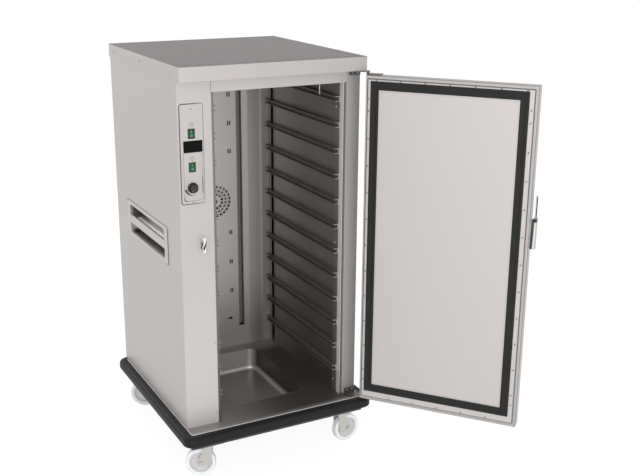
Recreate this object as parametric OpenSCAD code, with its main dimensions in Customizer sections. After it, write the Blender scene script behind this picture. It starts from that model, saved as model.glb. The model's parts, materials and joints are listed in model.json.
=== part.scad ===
// Heated banquet cart: an insulated stainless steel cabinet on four swivel castors,
// with rails for food pans, a warm-air fan, a water tank in the floor and one full door.
// Millimetres. The ground is z = 0, the door side faces -Y, and the open door hangs at +X.

/* [Cavity] */
// Clear width between the two liner walls
cavity_w = 557; // [500:1:700]
// Depth from the front face to the rear rack posts
cavity_d = 700; // [620:1:800]
// Number of rail levels
rail_count = 12; // [6:1:14]
// Height from one rail to the next
rail_pitch = 107; // [80:1:120]
// Height of the lowest rail's top above the floor
rail_first = 126; // [110:1:200]
// Clear height above the top rail
rail_headroom = 58; // [50:1:120]

/* [Rails] */
// How far a rail stands into the cavity
rail_reach = 18; // [14:1:26]
// Height of the rail's channel section
rail_h = 20; // [14:1:30]
// Thickness of the rail's sheet
rail_sheet = 1.5; // [1:0.1:2.5]
// Distance from the front face to the rails' front ends
rail_start = 26; // [10:1:28]
// Width of a front rack post
post_w = 30; // [20:1:40]
// Thickness of the rack posts
post_t = 2; // [1.5:0.1:4]
// Distance from the front face to the front rack post
post_y = 30; // [28:1:60]
// Depth of a rear rack post, front to back
rear_post_d = 26; // [20:1:40]
// Width of the air gap beside a rear rack post
air_gap = 28; // [15:1:45]
// Width of the rear rack posts' front faces
rear_post_w = 48; // [40:1:60]

/* [Walls] */
// Width of the control side of the body, left of the cavity
control_w = 148; // [130:1:180]
// Width of the hinge side of the body, right of the cavity
pillar_w = 75; // [66:1:100]
// Height of the header above the cavity
header_h = 49; // [40:1:80]
// Depth of the air duct behind the air panel
duct_d = 50; // [45:1:70]
// Thickness of the insulated back wall behind the duct
rear_wall = 50; // [48:1:80]
// Thickness of the outer sheet
sheet = 1.5; // [0.8:0.1:2]
// Thickness of the liner sheet
liner_sheet = 1.2; // [0.8:0.1:2]
// How far the air duct widens past the liner walls
duct_jog = 30; // [20:1:36]
// Depth of the return folds round the opening
fold_d = 27; // [22:1:29]
// Width of the bright strip beside the control column
strip_w = 10; // [6:1:16]
// Width of the groove beside the hinge pillar
groove_w = 12; // [8:1:16]
// Depth of the groove beside the hinge pillar
groove_d = 20; // [10:1:22]

/* [Top cover] */
// Height of the cover's skirt
cap_h = 56; // [40:1:90]
// How far the cover stands out in front of the body
cap_over = 48; // [20:1:50]
// How far the skirt stands proud of the sides and back
cap_proud = 3; // [2:0.5:6]
// Number of vent slots in the cover
vent_count = 16; // [6:1:18]
// Length of a vent slot
vent_len = 30; // [16:1:34]
// Width of a vent slot
vent_w = 4; // [3:0.5:6]

/* [Base] */
// Height of a castor from the floor to the chassis
castor_h = 155; // [155:1:170]
// Height of the chassis with its base plate
chassis_h = 65; // [50:1:90]
// How far the base stands out past the body's sides
base_side = 6; // [4:1:20]
// How far the base stands out in front of the body
base_front = 65; // [62:1:100]
// How far the base stops short of the body's back
base_rear = 20; // [0:1:40]
// Height of the base plate's upturned lip
lip_h = 3.5; // [2:0.5:3.5]
// Corner radius of the base
base_r = 10; // [6:1:20]
// Thickness of the chassis sheet
chassis_sheet = 3; // [2:0.5:5]
// Width of the bumper rubber
bumper_w = 35; // [25:1:50]
// Height of the bumper rubber
bumper_h = 42; // [30:1:48]
// Rounding of the bumper's upper outer edge
bumper_round = 17; // [6:1:17]
// Rounding of the bumper's lower outer edge
bumper_low = 9; // [5:1:9]
// Length of a bumper corner's legs, from its outer face
corner_leg = 110; // [80:1:160]
// Seam between the bumper pieces
bumper_seam = 0.6; // [0.3:0.1:0.9]

/* [Water tank] */
// Width of the tank's mouth
tank_w = 325; // [250:1:360]
// Length of the tank's mouth
tank_l = 518; // [400:1:530]
// Distance from the body's front face to the tank
tank_front = 107; // [90:1:115]
// Depth of the tank
tank_depth = 106; // [60:1:110]
// Radius of the tank's upright corners
tank_r = 45; // [30:1:60]
// Radius of the tank's bottom edges
tank_fillet = 19; // [8:1:25]
// Thickness of the tank's sheet
tank_sheet = 1.2; // [0.8:0.1:2]
// Width of the heating plate under the tank
heater_w = 200; // [160:1:220]
// Length of the heating plate under the tank
heater_l = 380; // [320:1:420]

/* [Door] */
// Thickness of the door
door_t = 50; // [40:1:60]
// Gap between the closed door and the body
door_gap = 6; // [4:0.5:10]
// How far the door covers the control column
door_overlap = 47; // [38:1:50]
// Height of the door's lower edge above the base plate
door_bottom = 8; // [8:0.5:12]
// Clearance between the door's upper edge and the top cover
door_top_gap = 12; // [11:0.5:20]
// Distance of the hinge axis outside the body's side
axis_out = 6; // [6:0.5:10]
// Distance from the hinge axis to the door's edge
axis_to_door = 9; // [6:0.5:10]
// Distance from the door's outer face back to the hinge axis
axis_depth = 4; // [3:0.5:8]
// Angle that the door stands open
door_open = 129.3; // [0:0.1:180]
// Inset of the inner panel from the door's upper, lower and free edges
door_inset = 14; // [9:1:16]
// Inset of the inner panel from the door's hinge edge
hinge_inset = 8; // [7:1:12]
// Width of the skin's hemmed rim round the inner panel
rim_w = 6; // [4:0.5:6]
// Width of the door gasket
gasket_w = 34; // [20:1:40]
// Inset of the gasket from the door's hinge edge
gasket_hinge = 20; // [18:1:30]
// Inset of the gasket from the door's free edge
gasket_free = 33; // [26:1:36]
// Inset of the gasket from the door's upper edge
gasket_top = 21; // [20:1:30]
// Inset of the gasket from the door's lower edge
gasket_bottom = 41; // [30:1:60]
// Diameter of the hinge pins
hinge_pin_d = 6; // [4:0.5:7]
// Height of the hinge knuckles beside the door
knuckle_h = 22; // [12:1:40]

/* [Latch] */
// Height of the latch housing above the base plate
latch_z = 758; // [600:1:900]
// Length of the latch housing
latch_h = 117; // [90:1:140]
// Length of the latch lever above its pivot
lever_len = 93; // [70:1:130]
// How far the latch reaches past the door's free edge
latch_nose = 18; // [17:1:22]
// Height of the keeper on the control column
keeper_z = 750; // [600:1:900]

/* [Controls] */
// Width of the control plate
panel_w = 96; // [88:1:110]
// Height of the control plate
panel_h = 385; // [370:1:420]
// Distance from the body's left side to the control plate
panel_x = 8; // [4:1:12]
// Height of the control plate's lower edge above the base plate
panel_z = 940; // [880:1:960]
// Thickness of the control plate
panel_t = 2; // [1.5:0.1:3]
// Diameter of the thermostat knob
knob_d = 42; // [30:1:50]
// Height of a rocker switch
rocker_h = 29; // [24:1:36]
// Width of a rocker switch
rocker_w = 21; // [16:1:28]
// Tilt of a rocker switch from the middle
rocker_tilt = 7; // [4:0.5:9]

/* [Handles] */
// Length of a recessed handle's flange
handle_w = 511; // [420:1:540]
// Height of a recessed handle's flange
handle_h = 160; // [140:1:180]
// Height of the flange's lower edge above the base plate
handle_z = 655; // [560:1:760]
// Distance from the front face to the handle's flange
handle_y = 146; // [110:1:200]
// Width of the flange at the pocket's two ends
handle_end = 38; // [16:1:50]
// Width of the flange above and below the pocket
handle_rim = 16; // [10:1:20]
// Rounding of the pocket's corners
pocket_r = 18; // [6:1:24]
// Depth of a handle's pocket
handle_depth = 45; // [38:1:50]
// Height of the grip bar
grip_h = 38; // [26:1:42]
// Thickness of the grip bar
grip_t = 14; // [10:1:18]

/* [Fan] */
// Radius of the fan grille
grille_r = 78; // [60:1:90]
// Height of the fan's centre above the floor
fan_z = 737; // [600:1:800]
// Width of each leaned-back wing of the air panel, with its post
wing_w = 112; // [105:1:116]
// Width of the air panel's long slots
slot_w = 27; // [20:1:28]
// Distance of the long slots from the panel's middle
slot_x = 109.5; // [106:0.5:111]
// Height of the long slots' lower end above the floor
slot_low = 103; // [80:1:130]
// Depth of the scoops behind the long slots
scoop = 26; // [16:1:28]
// Distance of the short slot pairs from the panel's middle
pair_x = 73.5; // [66:0.5:80]
// Height of the first slot pair above the fan
pair_up = 231; // [215:1:240]
// Spacing of the slot pairs above the fan
pitch_up = 130; // [110:1:135]
// Depth of the first slot pair below the fan
pair_down = 157; // [140:1:165]
// Spacing of the slot pairs below the fan
pitch_down = 145; // [130:1:150]
// Diameter of the fan wheel
fan_d = 150; // [120:1:160]
// Diameter of the fan's shaft
shaft_d = 8; // [6:1:10]

/* [Castors] */
// Diameter of the wheels
wheel_d = 125; // [100:1:125]
// Width of the wheels
wheel_w = 32; // [25:1:36]
// Distance of a wheel's axle from its swivel axis
castor_trail = 36; // [30:1:42]
// Distance of the swivels from the chassis sides
castor_side = 91; // [80:1:130]
// Distance of the front swivels from the chassis front
castor_front = 47; // [46:1:80]
// Distance of the rear swivels from the chassis rear
castor_rear = 80; // [60:1:110]
// Diameter of the axle bolts
axle_d = 10; // [8:1:12]

/* [Hidden] */
$fn = 48;

// Colours of the finishes
steel = [0.76, 0.74, 0.72];
steel_top = [0.60, 0.57, 0.55];
steel_dark = [0.42, 0.39, 0.37];
rubber = [0.05, 0.05, 0.055];
black = [0.03, 0.03, 0.03];
green = [0.05, 0.42, 0.16];
tyre_white = [0.86, 0.86, 0.88];
wool = [0.72, 0.66, 0.50];

// Clearances
run_fit = 0.05;     // radial, round every pin and shaft that turns
slip = 0.5;         // round a part that drops into a cut-out
fit_gap = 0.3;      // between parts that move past each other

// Outer sizes of the body
body_w = control_w + cavity_w + pillar_w;
body_d = cavity_d + duct_d + rear_wall;
cavity_h = rail_first + (rail_count - 1) * rail_pitch + rail_headroom;
left_x = -body_w / 2;
right_x = body_w / 2;
front_y = -body_d / 2;
back_y = body_d / 2;
base_z = castor_h + chassis_h;
head_z = base_z + cavity_h;
cap_z = head_z + header_h;
top_z = cap_z + cap_h;
wall_top = top_z - sheet;
vent_edge = 36;
vent_inset = 28;

// Cavity and duct
cav_l = left_x + control_w;
cav_r = cav_l + cavity_w;
cav_x = (cav_l + cav_r) / 2;
post_plane = front_y + cavity_d;
gap_y = post_plane - rear_post_d - air_gap;
duct_y = post_plane + duct_d;
rail_len = cavity_d - 2 - rail_start;
pillar_face = cav_r + liner_sheet + groove_w;

// Probe and mains inlet
probe_x = cav_r - 65;
probe_y = front_y + 81;
probe_len = 52;
inlet_w = 50;
inlet_h = 30;

// Base
base_l = left_x - base_side;
base_r_x = right_x + base_side;
base_f = front_y - base_front;
base_b = back_y - base_rear;
base_cy = (base_f + base_b) / 2;
base_lx = base_r_x - base_l;
base_ly = base_b - base_f;
tray_z = base_z - sheet;
tank_y = front_y + tank_front + tank_l / 2;

// Door, drawn closed with its hinge axis at x = 0, y = 0 and its outer face towards -Y
axis_x = right_x + axis_out;
axis_y = front_y - door_gap - door_t + axis_depth;
door_w = cavity_w + pillar_w + door_overlap + axis_out - axis_to_door;
door_free = -axis_to_door - door_w;
door_face = -axis_depth;
door_back = door_face + door_t;
door_h = cavity_h + header_h - door_top_gap - door_bottom;
skin_d = door_t - 3;
knuckle_r = min(axis_to_door - 0.4, hinge_pin_d / 2 + 2.6);
arm_t = 4;
arm_len = 62;
bracket_t = 3;
bracket_len = 56;
bracket_r = 9;
bracket_h = 22;

// Latch
lever_z = latch_z + latch_h + 3;
lever_w = 8;
lever_x = door_free - 10;
lever_y = door_face - 11;
lever_r = 5;
lever_pin_r = 2;
housing_t = 17;

// Controls
panel_l = left_x + panel_x;
panel_c = panel_l + panel_w / 2 - 1;
panel_b = base_z + panel_z;
rocker_z1 = panel_b + panel_h - 113;
rocker_z2 = panel_b + 144;
display_z = panel_b + 223;
knob_z = panel_b + 64;
rocker_back = 11;
shaft_r = 3;

// Handles
pocket_w = handle_w - 2 * handle_end;
pocket_h = handle_h - 2 * handle_rim;
pocket_y = front_y + handle_y + handle_end;
pocket_z = base_z + handle_z + handle_rim;
grip_z = base_z + handle_z + handle_h / 2 - 4;

// Fan
fan_h = base_z + fan_z;
panel_front = post_plane - 10;
fan_y = panel_front + 13;
fan_depth = duct_d - 14;
heater_r = fan_d / 2 + 12;
heater_tube = 4.2;

// Castors, numbered front left, front right, rear left, rear right
castor_at = [
    [base_l + castor_side, base_f + castor_front],
    [base_r_x - castor_side, base_f + castor_front],
    [base_l + castor_side, base_b - castor_rear],
    [base_r_x - castor_side, base_b - castor_rear]];
castor_turn = [152, 7, 152, 24];
plate_w = 105;
plate_l = 85;
plate_t = 4;
bolt_x = 40;
bolt_y = 30;
bolt_d = 8;
king_r = 7;
race_r = 30;
race_h = 6;
crown_t = 4;
crown_z = castor_h - plate_t - race_h - fit_gap;
leg_t = 3.5;
leg_y = wheel_w / 2 + 3;

// Even places from a to b, a given count of them
function spread(a, b, n) = [for (i = [0:n - 1]) a + (b - a) * i / (n - 1)];

// A box between two corners
module slab(a, b) {
    translate(a) cube([b[0] - a[0], b[1] - a[1], b[2] - a[2]]);
}

// A flat rectangle with round corners, centred
module round_rect(w, l, r) {
    square([w - 2 * r, l], center = true);
    square([w, l - 2 * r], center = true);
    for (x = [-1, 1], y = [-1, 1])
        translate([x * (w / 2 - r), y * (l / 2 - r)]) circle(r);
}

// A flat strap round two circles, with straight tangent sides
module strap(p, r, q, s) {
    d = norm(q - p);
    along = atan2(q[1] - p[1], q[0] - p[0]);
    lean = acos((r - s) / d);
    translate(p) circle(r);
    translate(q) circle(s);
    polygon([
        p + r * [cos(along + lean), sin(along + lean)],
        p + r * [cos(along - lean), sin(along - lean)],
        q + s * [cos(along - lean), sin(along - lean)],
        q + s * [cos(along + lean), sin(along + lean)]]);
}

// A pan-head screw, its head standing along +Z from a surface at z = 0
module screw(r) {
    cylinder(r = r, h = 0.9);
    translate([0, 0, 0.9]) cylinder(r1 = r, r2 = r * 0.7, h = 0.7);
}

// A drawn tub open at the top, its mouth at z = 0, with round upright corners and bottom edges
module tub(w, l, depth, r, fillet) {
    f = min(fillet, r / 2 - 0.5);
    low = depth - f;
    translate([0, 0, -low]) linear_extrude(low) round_rect(w, l, r);
    translate([0, 0, -depth]) linear_extrude(depth) round_rect(w - 2 * f, l - 2 * f, r - f);
    for (x = [-1, 1])
        translate([x * (w / 2 - f), -(l / 2 - r), -low])
            rotate([-90, 0, 0]) cylinder(r = f, h = l - 2 * r);
    for (y = [-1, 1])
        translate([-(w / 2 - r), y * (l / 2 - f), -low])
            rotate([0, 90, 0]) cylinder(r = f, h = w - 2 * r);
    for (x = [-1, 1], y = [-1, 1])
        translate([x * (w / 2 - r), y * (l / 2 - r), -low])
            rotate_extrude() translate([r - f, 0]) circle(f);
}

// Mirrors a child from the right side of the cavity to the left side
module left_of_cavity() {
    translate([2 * cav_x, 0, 0]) mirror([1, 0, 0]) children();
}

// Puts a child that is drawn against the door's closed place onto the open door
module on_door() {
    translate([axis_x, axis_y, base_z]) rotate([0, 0, door_open]) children();
}

module chassis_frame() color(steel_dark) {
    wall = chassis_sheet;
    flange = 40;
    gusset = 150;
    beam = 30;
    difference() {
        translate([0, base_cy, castor_h]) linear_extrude(chassis_h - sheet)
            round_rect(base_lx, base_ly, base_r);
        translate([0, base_cy, castor_h + wall]) linear_extrude(chassis_h)
            round_rect(base_lx - 2 * wall, base_ly - 2 * wall, base_r - wall);
        difference() {
            translate([0, base_cy, castor_h - 1]) linear_extrude(wall + 2)
                square([base_lx - 2 * flange, base_ly - 2 * flange], center = true);
            for (c = castor_at)
                translate([c[0] - gusset / 2, c[1] - gusset / 2, castor_h - 2])
                    cube([gusset, gusset, wall + 4]);
        }
        castor_bolt_holes();
    }
    for (m = [0, 1]) translate([cav_x, 0, 0]) mirror([m, 0, 0]) translate([tank_w / 2 + 16, 0, 0]) {
        slab([0, base_f + wall, castor_h + wall], [wall, base_b - wall, tray_z]);
        slab([wall, base_f + wall, tray_z - wall], [beam, base_b - wall, tray_z]);
    }
}

// The sixteen holes of the castor bolts through a plate at the chassis underside
module castor_bolt_holes() {
    for (c = castor_at, x = [-1, 1], y = [-1, 1])
        translate([c[0] + x * bolt_x, c[1] + y * bolt_y, castor_h - plate_t - 1])
            cylinder(d = bolt_d + slip, h = plate_t + chassis_sheet + 2);
}

module base_tray() color(steel) difference() {
    translate([0, base_cy, tray_z]) linear_extrude(sheet + lip_h)
        round_rect(base_lx, base_ly, base_r);
    translate([0, base_cy, base_z]) linear_extrude(lip_h + 1)
        round_rect(base_lx - 2 * sheet, base_ly - 2 * sheet, base_r - sheet);
    translate([cav_x, tank_y, tray_z - 1]) linear_extrude(sheet + 2)
        round_rect(tank_w, tank_l, tank_r);
    slab([base_l - 1, base_b - base_r, base_z], [base_r_x + 1, base_b + 1, base_z + lip_h + 1]);
    slab([axis_x - bracket_len - slip, axis_y - bracket_r - slip, base_z],
        [base_r_x + 1, front_y + 20, base_z + lip_h + 1]);
}

module water_tank() color(steel) {
    flange = 14;
    translate([cav_x, tank_y, tray_z]) {
        difference() {
            union() {
                tub(tank_w + 2 * tank_sheet, tank_l + 2 * tank_sheet, tank_depth + tank_sheet,
                    tank_r + tank_sheet, tank_fillet + tank_sheet);
                translate([0, 0, -tank_sheet]) linear_extrude(tank_sheet)
                    round_rect(tank_w + 2 * flange, tank_l + 2 * flange, tank_r + flange);
            }
            translate([0, 0, 0.001]) tub(tank_w, tank_l, tank_depth, tank_r, tank_fillet);
        }
    }
}

// One side panel, drawn for the right side; the handle's pocket passes through it
module side_panel() {
    difference() {
        slab([right_x - sheet, front_y, base_z], [right_x, back_y, wall_top]);
        slab([right_x - sheet - 1, pocket_y - slip, pocket_z - slip],
            [right_x + 1, pocket_y + pocket_w + slip, pocket_z + pocket_h + slip]);
    }
}

module side_panel_left() color(steel) mirror([1, 0, 0]) side_panel();

module side_panel_right() color(steel) side_panel();

module rear_panel() color(steel) difference() {
    slab([left_x + sheet, back_y - sheet, base_z], [right_x - sheet, back_y, wall_top]);
    inlet_place() cube([inlet_w + slip, inlet_h + slip, 8 * sheet], center = true);
    for (i = [0:7])
        translate([cav_x - 60, back_y - sheet / 2, fan_h - 42 + 12 * i])
            slab([0, -sheet, 0], [120, sheet, 4]);
}

module top_cover() color(steel_top) difference() {
    x = right_x + cap_proud;
    slab([-x, front_y - cap_over, cap_z], [x, back_y + cap_proud, top_z]);
    slab([-x + sheet, front_y, cap_z - 1], [x - sheet, back_y + cap_proud - sheet, wall_top]);
    slab([-x + sheet, front_y - cap_over + sheet, cap_z + sheet], [x - sheet, front_y + 1, wall_top]);
    for (vent_x = spread(vent_edge - right_x, right_x - vent_edge, vent_count))
        translate([vent_x, front_y - cap_over + vent_inset, wall_top - 1])
            linear_extrude(sheet + 2) round_rect(vent_len, vent_w, vent_w / 2 - 0.1);
}

module front_header() color(steel) {
    x0 = cav_l - strip_w;
    slab([x0, front_y, head_z], [pillar_face, front_y + sheet, wall_top]);
    slab([x0, front_y + sheet, head_z], [cav_r, front_y + fold_d, head_z + liner_sheet]);
}

module control_column() color(steel) difference() {
    x1 = cav_l - strip_w;
    union() {
        slab([left_x + sheet, front_y, base_z], [x1, front_y + sheet, wall_top]);
        slab([x1 - sheet, front_y + sheet, base_z], [x1, front_y + fold_d, wall_top]);
    }
    control_cutouts(sheet + slip);
}

// The openings behind the controls, cut through the column and the control plate
module control_cutouts(depth) {
    for (z = [rocker_z1, rocker_z2])
        slab([panel_c - rocker_w / 2 - 2, front_y - panel_t - 1, z - rocker_h / 2 - 3],
            [panel_c + rocker_w / 2 + 2, front_y + depth, z + rocker_h / 2 + 3]);
    slab([panel_l + 14, front_y - panel_t - 1, display_z - 22],
        [panel_l + panel_w - 6, front_y + depth, display_z + 22]);
    translate([panel_c, front_y + depth, knob_z]) rotate([90, 0, 0])
        cylinder(r = shaft_r + 1, h = depth + panel_t + 1);
}

module hinge_pillar() color(steel) {
    x0 = cav_r;
    x1 = pillar_face;
    t = liner_sheet;
    slab([x1, front_y, base_z], [right_x - sheet, front_y + sheet, wall_top]);
    slab([x1, front_y + sheet, base_z], [x1 + t, front_y + groove_d, wall_top]);
    slab([x0, front_y + groove_d, base_z], [x1 + t, front_y + groove_d + t, head_z]);
    slab([x0, front_y, base_z], [x0 + t, front_y + fold_d, head_z]);
}

// One liner wall with the step that widens the duct, drawn for the right side
module liner_wall(front) {
    t = liner_sheet;
    slab([cav_r, front, base_z], [cav_r + t, gap_y, head_z]);
    slab([cav_r, gap_y, base_z], [cav_r + duct_jog, gap_y + t, head_z]);
    slab([cav_r + duct_jog, gap_y, base_z], [cav_r + duct_jog + t, duct_y, head_z]);
}

module liner_right() color(steel_dark) liner_wall(front_y + fold_d);

module liner_left() color(steel_dark) left_of_cavity() {
    liner_wall(front_y);
    slab([cav_r + liner_sheet, front_y, base_z], [cav_r + strip_w, front_y + liner_sheet, head_z]);
}

module liner_ceiling() color(steel_dark) difference() {
    x = cavity_w / 2 + duct_jog + liner_sheet;
    slab([cav_x - x, front_y + fold_d, head_z], [cav_x + x, duct_y + liner_sheet, head_z + liner_sheet]);
    translate([probe_x, probe_y, head_z - 1]) cylinder(r = 5, h = 4);
}

module liner_rear() color(steel_dark) difference() {
    x = cavity_w / 2 + duct_jog + liner_sheet;
    slab([cav_x - x, duct_y, base_z], [cav_x + x, duct_y + liner_sheet, head_z]);
    translate([cav_x, duct_y - 1, fan_h]) rotate([-90, 0, 0]) cylinder(r = shaft_d / 2 + 4, h = 4);
    for (s = [-1, 1])
        translate([cav_x + s * heater_r, duct_y - 1, fan_h]) rotate([-90, 0, 0])
            cylinder(r = heater_tube + slip, h = 4);
}

module insulation() color(wool) difference() {
    t = liner_sheet;
    union() {
        slab([left_x + sheet, front_y + 60, base_z], [cav_l - t, gap_y, head_z + t]);
        slab([left_x + sheet, gap_y, base_z], [cav_l - duct_jog - t, back_y - sheet, head_z + t]);
        slab([cav_r + t, front_y + fold_d, base_z], [right_x - sheet, gap_y, head_z + t]);
        slab([cav_r + duct_jog + t, gap_y, base_z], [right_x - sheet, back_y - sheet, head_z + t]);
        slab([cav_l - duct_jog - t, duct_y + t, base_z],
            [cav_r + duct_jog + t, back_y - sheet, head_z + t]);
        slab([left_x + sheet, front_y + 60, head_z + t], [right_x - sheet, back_y - sheet, cap_z + 30]);
    }
    for (m = [0, 1]) mirror([m, 0, 0])
        slab([right_x - handle_depth - 2 * sheet, pocket_y - 1, pocket_z - 1],
            [right_x, pocket_y + pocket_w + 1, pocket_z + pocket_h + 1]);
    translate([cav_x, duct_y, fan_h]) rotate([-90, 0, 0]) cylinder(r = 58, h = rear_wall);
    slab([cav_x - heater_r - 12, duct_y, fan_h - 12], [cav_x + heater_r + 12, back_y, fan_h + 12]);
    slab([cav_x - 75, back_y - 14, fan_h - 56], [cav_x + 75, back_y, fan_h + 60]);
    inlet_place() cube([inlet_w + 20, inlet_h + 20, 90], center = true);
    translate([probe_x, probe_y, head_z]) cylinder(r = 12, h = 20);
    slab([cav_l - duct_jog - 2 * t, front_y, head_z - slip],
        [cav_r + duct_jog + 2 * t, duct_y + 2 * t, head_z + t]);
}

// Plan of the folded air panel: a flat middle with two wings that lean back to the posts
module air_panel_plan() {
    t = liner_sheet;
    mid = cavity_w / 2 - wing_w;
    wing = cavity_w / 2 - rear_post_w;
    edge = wing + 12;
    y0 = panel_front;
    y1 = post_plane - t;
    polygon([[-edge, y1], [-wing, y1], [-mid, y0], [mid, y0], [wing, y1], [edge, y1],
        [edge, y1 + t], [wing, y1 + t], [mid, y0 + t], [-mid, y0 + t], [-wing, y1 + t], [-edge, y1 + t]]);
}

// Arc-shaped windows of the fan grille in rings round its centre, drawn along +Z
module grille_windows() {
    rings = [[grille_r - 15, 24], [grille_r - 33, 18], [grille_r - 51, 12]];
    for (ring = rings) {
        count = ring[1];
        bridge = 5 / ring[0] * 180 / PI;
        for (i = [0:count - 1])
            rotate([0, 0, i * 360 / count + bridge / 2])
                rotate_extrude(angle = 360 / count - bridge) translate([ring[0], -4]) square([12, 8]);
    }
    translate([0, 0, -4]) cylinder(r = 10, h = 8);
}

module air_panel() color(steel) {
    slot_z = [slot_low, cavity_h - 38];
    bar = [6, 20];
    bridge = 4;
    t = liner_sheet;
    difference() {
        translate([cav_x, 0, base_z]) linear_extrude(cavity_h) air_panel_plan();
        for (m = [0, 1]) translate([cav_x, panel_front - 2, base_z]) mirror([m, 0, 0]) {
            slab([slot_x, 0, slot_z[0]], [slot_x + slot_w, 6, slot_z[1]]);
            for (z = concat([for (i = [0:2]) fan_z + pair_up + pitch_up * i],
                    [for (i = [0:2]) fan_z - pair_down - pitch_down * i]),
                x = [pair_x - bridge / 2 - bar[0], pair_x + bridge / 2])
                slab([x, 0, z - bar[1] / 2], [x + bar[0], 6, z + bar[1] / 2]);
            translate([0, 6, 0]) rotate([90, 0, 0]) linear_extrude(6)
                polygon([[pair_x - 33.5, slot_low + 48], [pair_x, slot_low + 52], [pair_x, slot_low + 38]]);
        }
        translate([cav_x, panel_front, fan_h]) rotate([90, 0, 0]) grille_windows();
    }
    for (m = [0, 1]) translate([cav_x, panel_front, base_z]) mirror([m, 0, 0]) {
        slab([slot_x + slot_w, 0, slot_z[0]], [slot_x + slot_w + t, scoop, slot_z[1]]);
        slab([slot_x - 3, scoop - t, slot_z[0]], [slot_x + slot_w + t, scoop, slot_z[1]]);
    }
}

module fan_motor() color(steel_dark) difference() {
    union() {
        translate([cav_x, duct_y + liner_sheet, fan_h]) rotate([-90, 0, 0]) {
            cylinder(r = 55, h = 3);
            cylinder(r = 44, h = rear_wall - 10);
            for (a = [45:90:315]) rotate([0, 0, a]) translate([49, 0, 0]) cylinder(r = 4, h = 6);
        }
    }
    translate([cav_x, duct_y, fan_h]) rotate([-90, 0, 0])
        cylinder(r = shaft_d / 2 + run_fit, h = rear_wall - 20);
}

module fan_wheel() color(steel) {
    blades = 14;
    r = fan_d / 2;
    translate([cav_x, fan_y, fan_h]) rotate([-90, 0, 0]) {
        cylinder(d = shaft_d, h = duct_y - fan_y + rear_wall - 22);
        cylinder(r = 18, h = fan_depth - 10);
        translate([0, 0, fan_depth - 12]) cylinder(r = r - 1, h = 1.5);
        difference() {
            cylinder(r = r, h = 1.5);
            translate([0, 0, -1]) cylinder(r = r - 26, h = 4);
        }
        for (i = [0:blades - 1]) rotate([0, 0, i * 360 / blades])
            translate([r - 40, 12, 0]) rotate([0, 0, -68])
                rotate_extrude(angle = 62) translate([34, 0]) square([1.5, fan_depth - 11]);
    }
}

module air_heater() color(steel_dark) translate([cav_x, panel_front + 14, fan_h]) rotate([-90, 0, 0]) {
    reach = duct_y - panel_front - 14;
    for (z = [0, 16]) translate([0, 0, z])
        rotate_extrude() translate([heater_r, 0]) circle(heater_tube);
    for (s = [-1, 1]) translate([s * heater_r, 0, 0]) {
        cylinder(r = heater_tube, h = reach + 24);
        translate([0, 0, reach - 3]) cylinder(r = heater_tube + 5, h = 3);
    }
}

module heater_bend(bend, r) {
    rotate_extrude(angle = 180) translate([bend, 0]) circle(r);
}

module tank_heater() color(steel_dark) translate([cav_x, tank_y, tray_z - tank_depth - tank_sheet]) {
    leg = heater_l / 2 - 40;
    pitch = heater_w / 4;
    r = 4;
    translate([-heater_w / 2, -heater_l / 2, -2]) cube([heater_w, heater_l, 2]);
    translate([0, 0, -2 - r + 1]) {
        for (i = [-1.5:1.5]) translate([i * pitch, -leg, 0]) rotate([-90, 0, 0]) cylinder(r = r, h = 2 * leg);
        for (i = [-1, 1]) translate([i * pitch, leg, 0]) heater_bend(pitch / 2, r);
        translate([0, -leg, 0]) rotate([0, 0, 180]) heater_bend(pitch / 2, r);
    }
}

// The front rack post of the right side, with its screws' holes left to the screws
module front_post() {
    slab([cav_r - post_t, front_y + post_y, base_z], [cav_r, front_y + post_y + post_w, head_z]);
}

// The rear rack post of the right side: an angle that also holds the air panel's edge
module rear_post() {
    slab([cav_r - post_t, post_plane - rear_post_d, base_z], [cav_r, post_plane + post_t, head_z]);
    slab([cav_r - rear_post_w, post_plane, base_z], [cav_r, post_plane + post_t, head_z]);
}

module rack_posts_front() color(steel_dark) {
    front_post();
    left_of_cavity() front_post();
}

module rack_posts_rear() color(steel) {
    rear_post();
    left_of_cavity() rear_post();
}

// One rail: a channel open towards the cavity, with its top at the given height
module rail(z) {
    t = rail_sheet;
    x1 = cav_r - post_t;
    y0 = front_y + rail_start;
    y1 = y0 + rail_len;
    slab([x1 - rail_reach, y0, z - t], [x1, y1, z]);
    slab([x1 - rail_reach, y0, z - rail_h], [x1, y1, z - rail_h + t]);
    slab([x1 - t, y0, z - rail_h], [x1, y1, z]);
}

module rails() {
    for (i = [0:rail_count - 1]) rail(base_z + rail_first + i * rail_pitch);
}

module rails_right() color(steel_dark) rails();

module rails_left() color(steel_dark) left_of_cavity() rails();

// Section of the bumper, its back on x = 0 and its top at y = 0
module bumper_section() {
    r = min(bumper_round, bumper_w / 2);
    q = bumper_low;
    translate([0, -bumper_h]) {
        square([bumper_w - r, bumper_h]);
        square([bumper_w - q, bumper_h - r]);
        translate([0, q]) square([bumper_w, bumper_h - r - q]);
        translate([bumper_w - q, q]) circle(q);
        translate([bumper_w - r, bumper_h - r]) circle(r);
    }
}

// A straight length of bumper along +Y from the origin, standing out towards +X
module bumper_length(len) {
    translate([0, len, 0]) rotate([90, 0, 0]) linear_extrude(len) bumper_section();
}

module bumper_rails() color(rubber) translate([0, base_cy, base_z]) {
    side = base_ly - 2 * (corner_leg - bumper_w + bumper_seam);
    front = base_lx - 2 * (corner_leg - bumper_w + bumper_seam);
    for (a = [0, 180]) rotate([0, 0, a]) {
        translate([base_lx / 2, -side / 2, 0]) bumper_length(side);
        rotate([0, 0, 90]) translate([base_ly / 2, -front / 2, 0]) bumper_length(front);
    }
}

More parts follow.
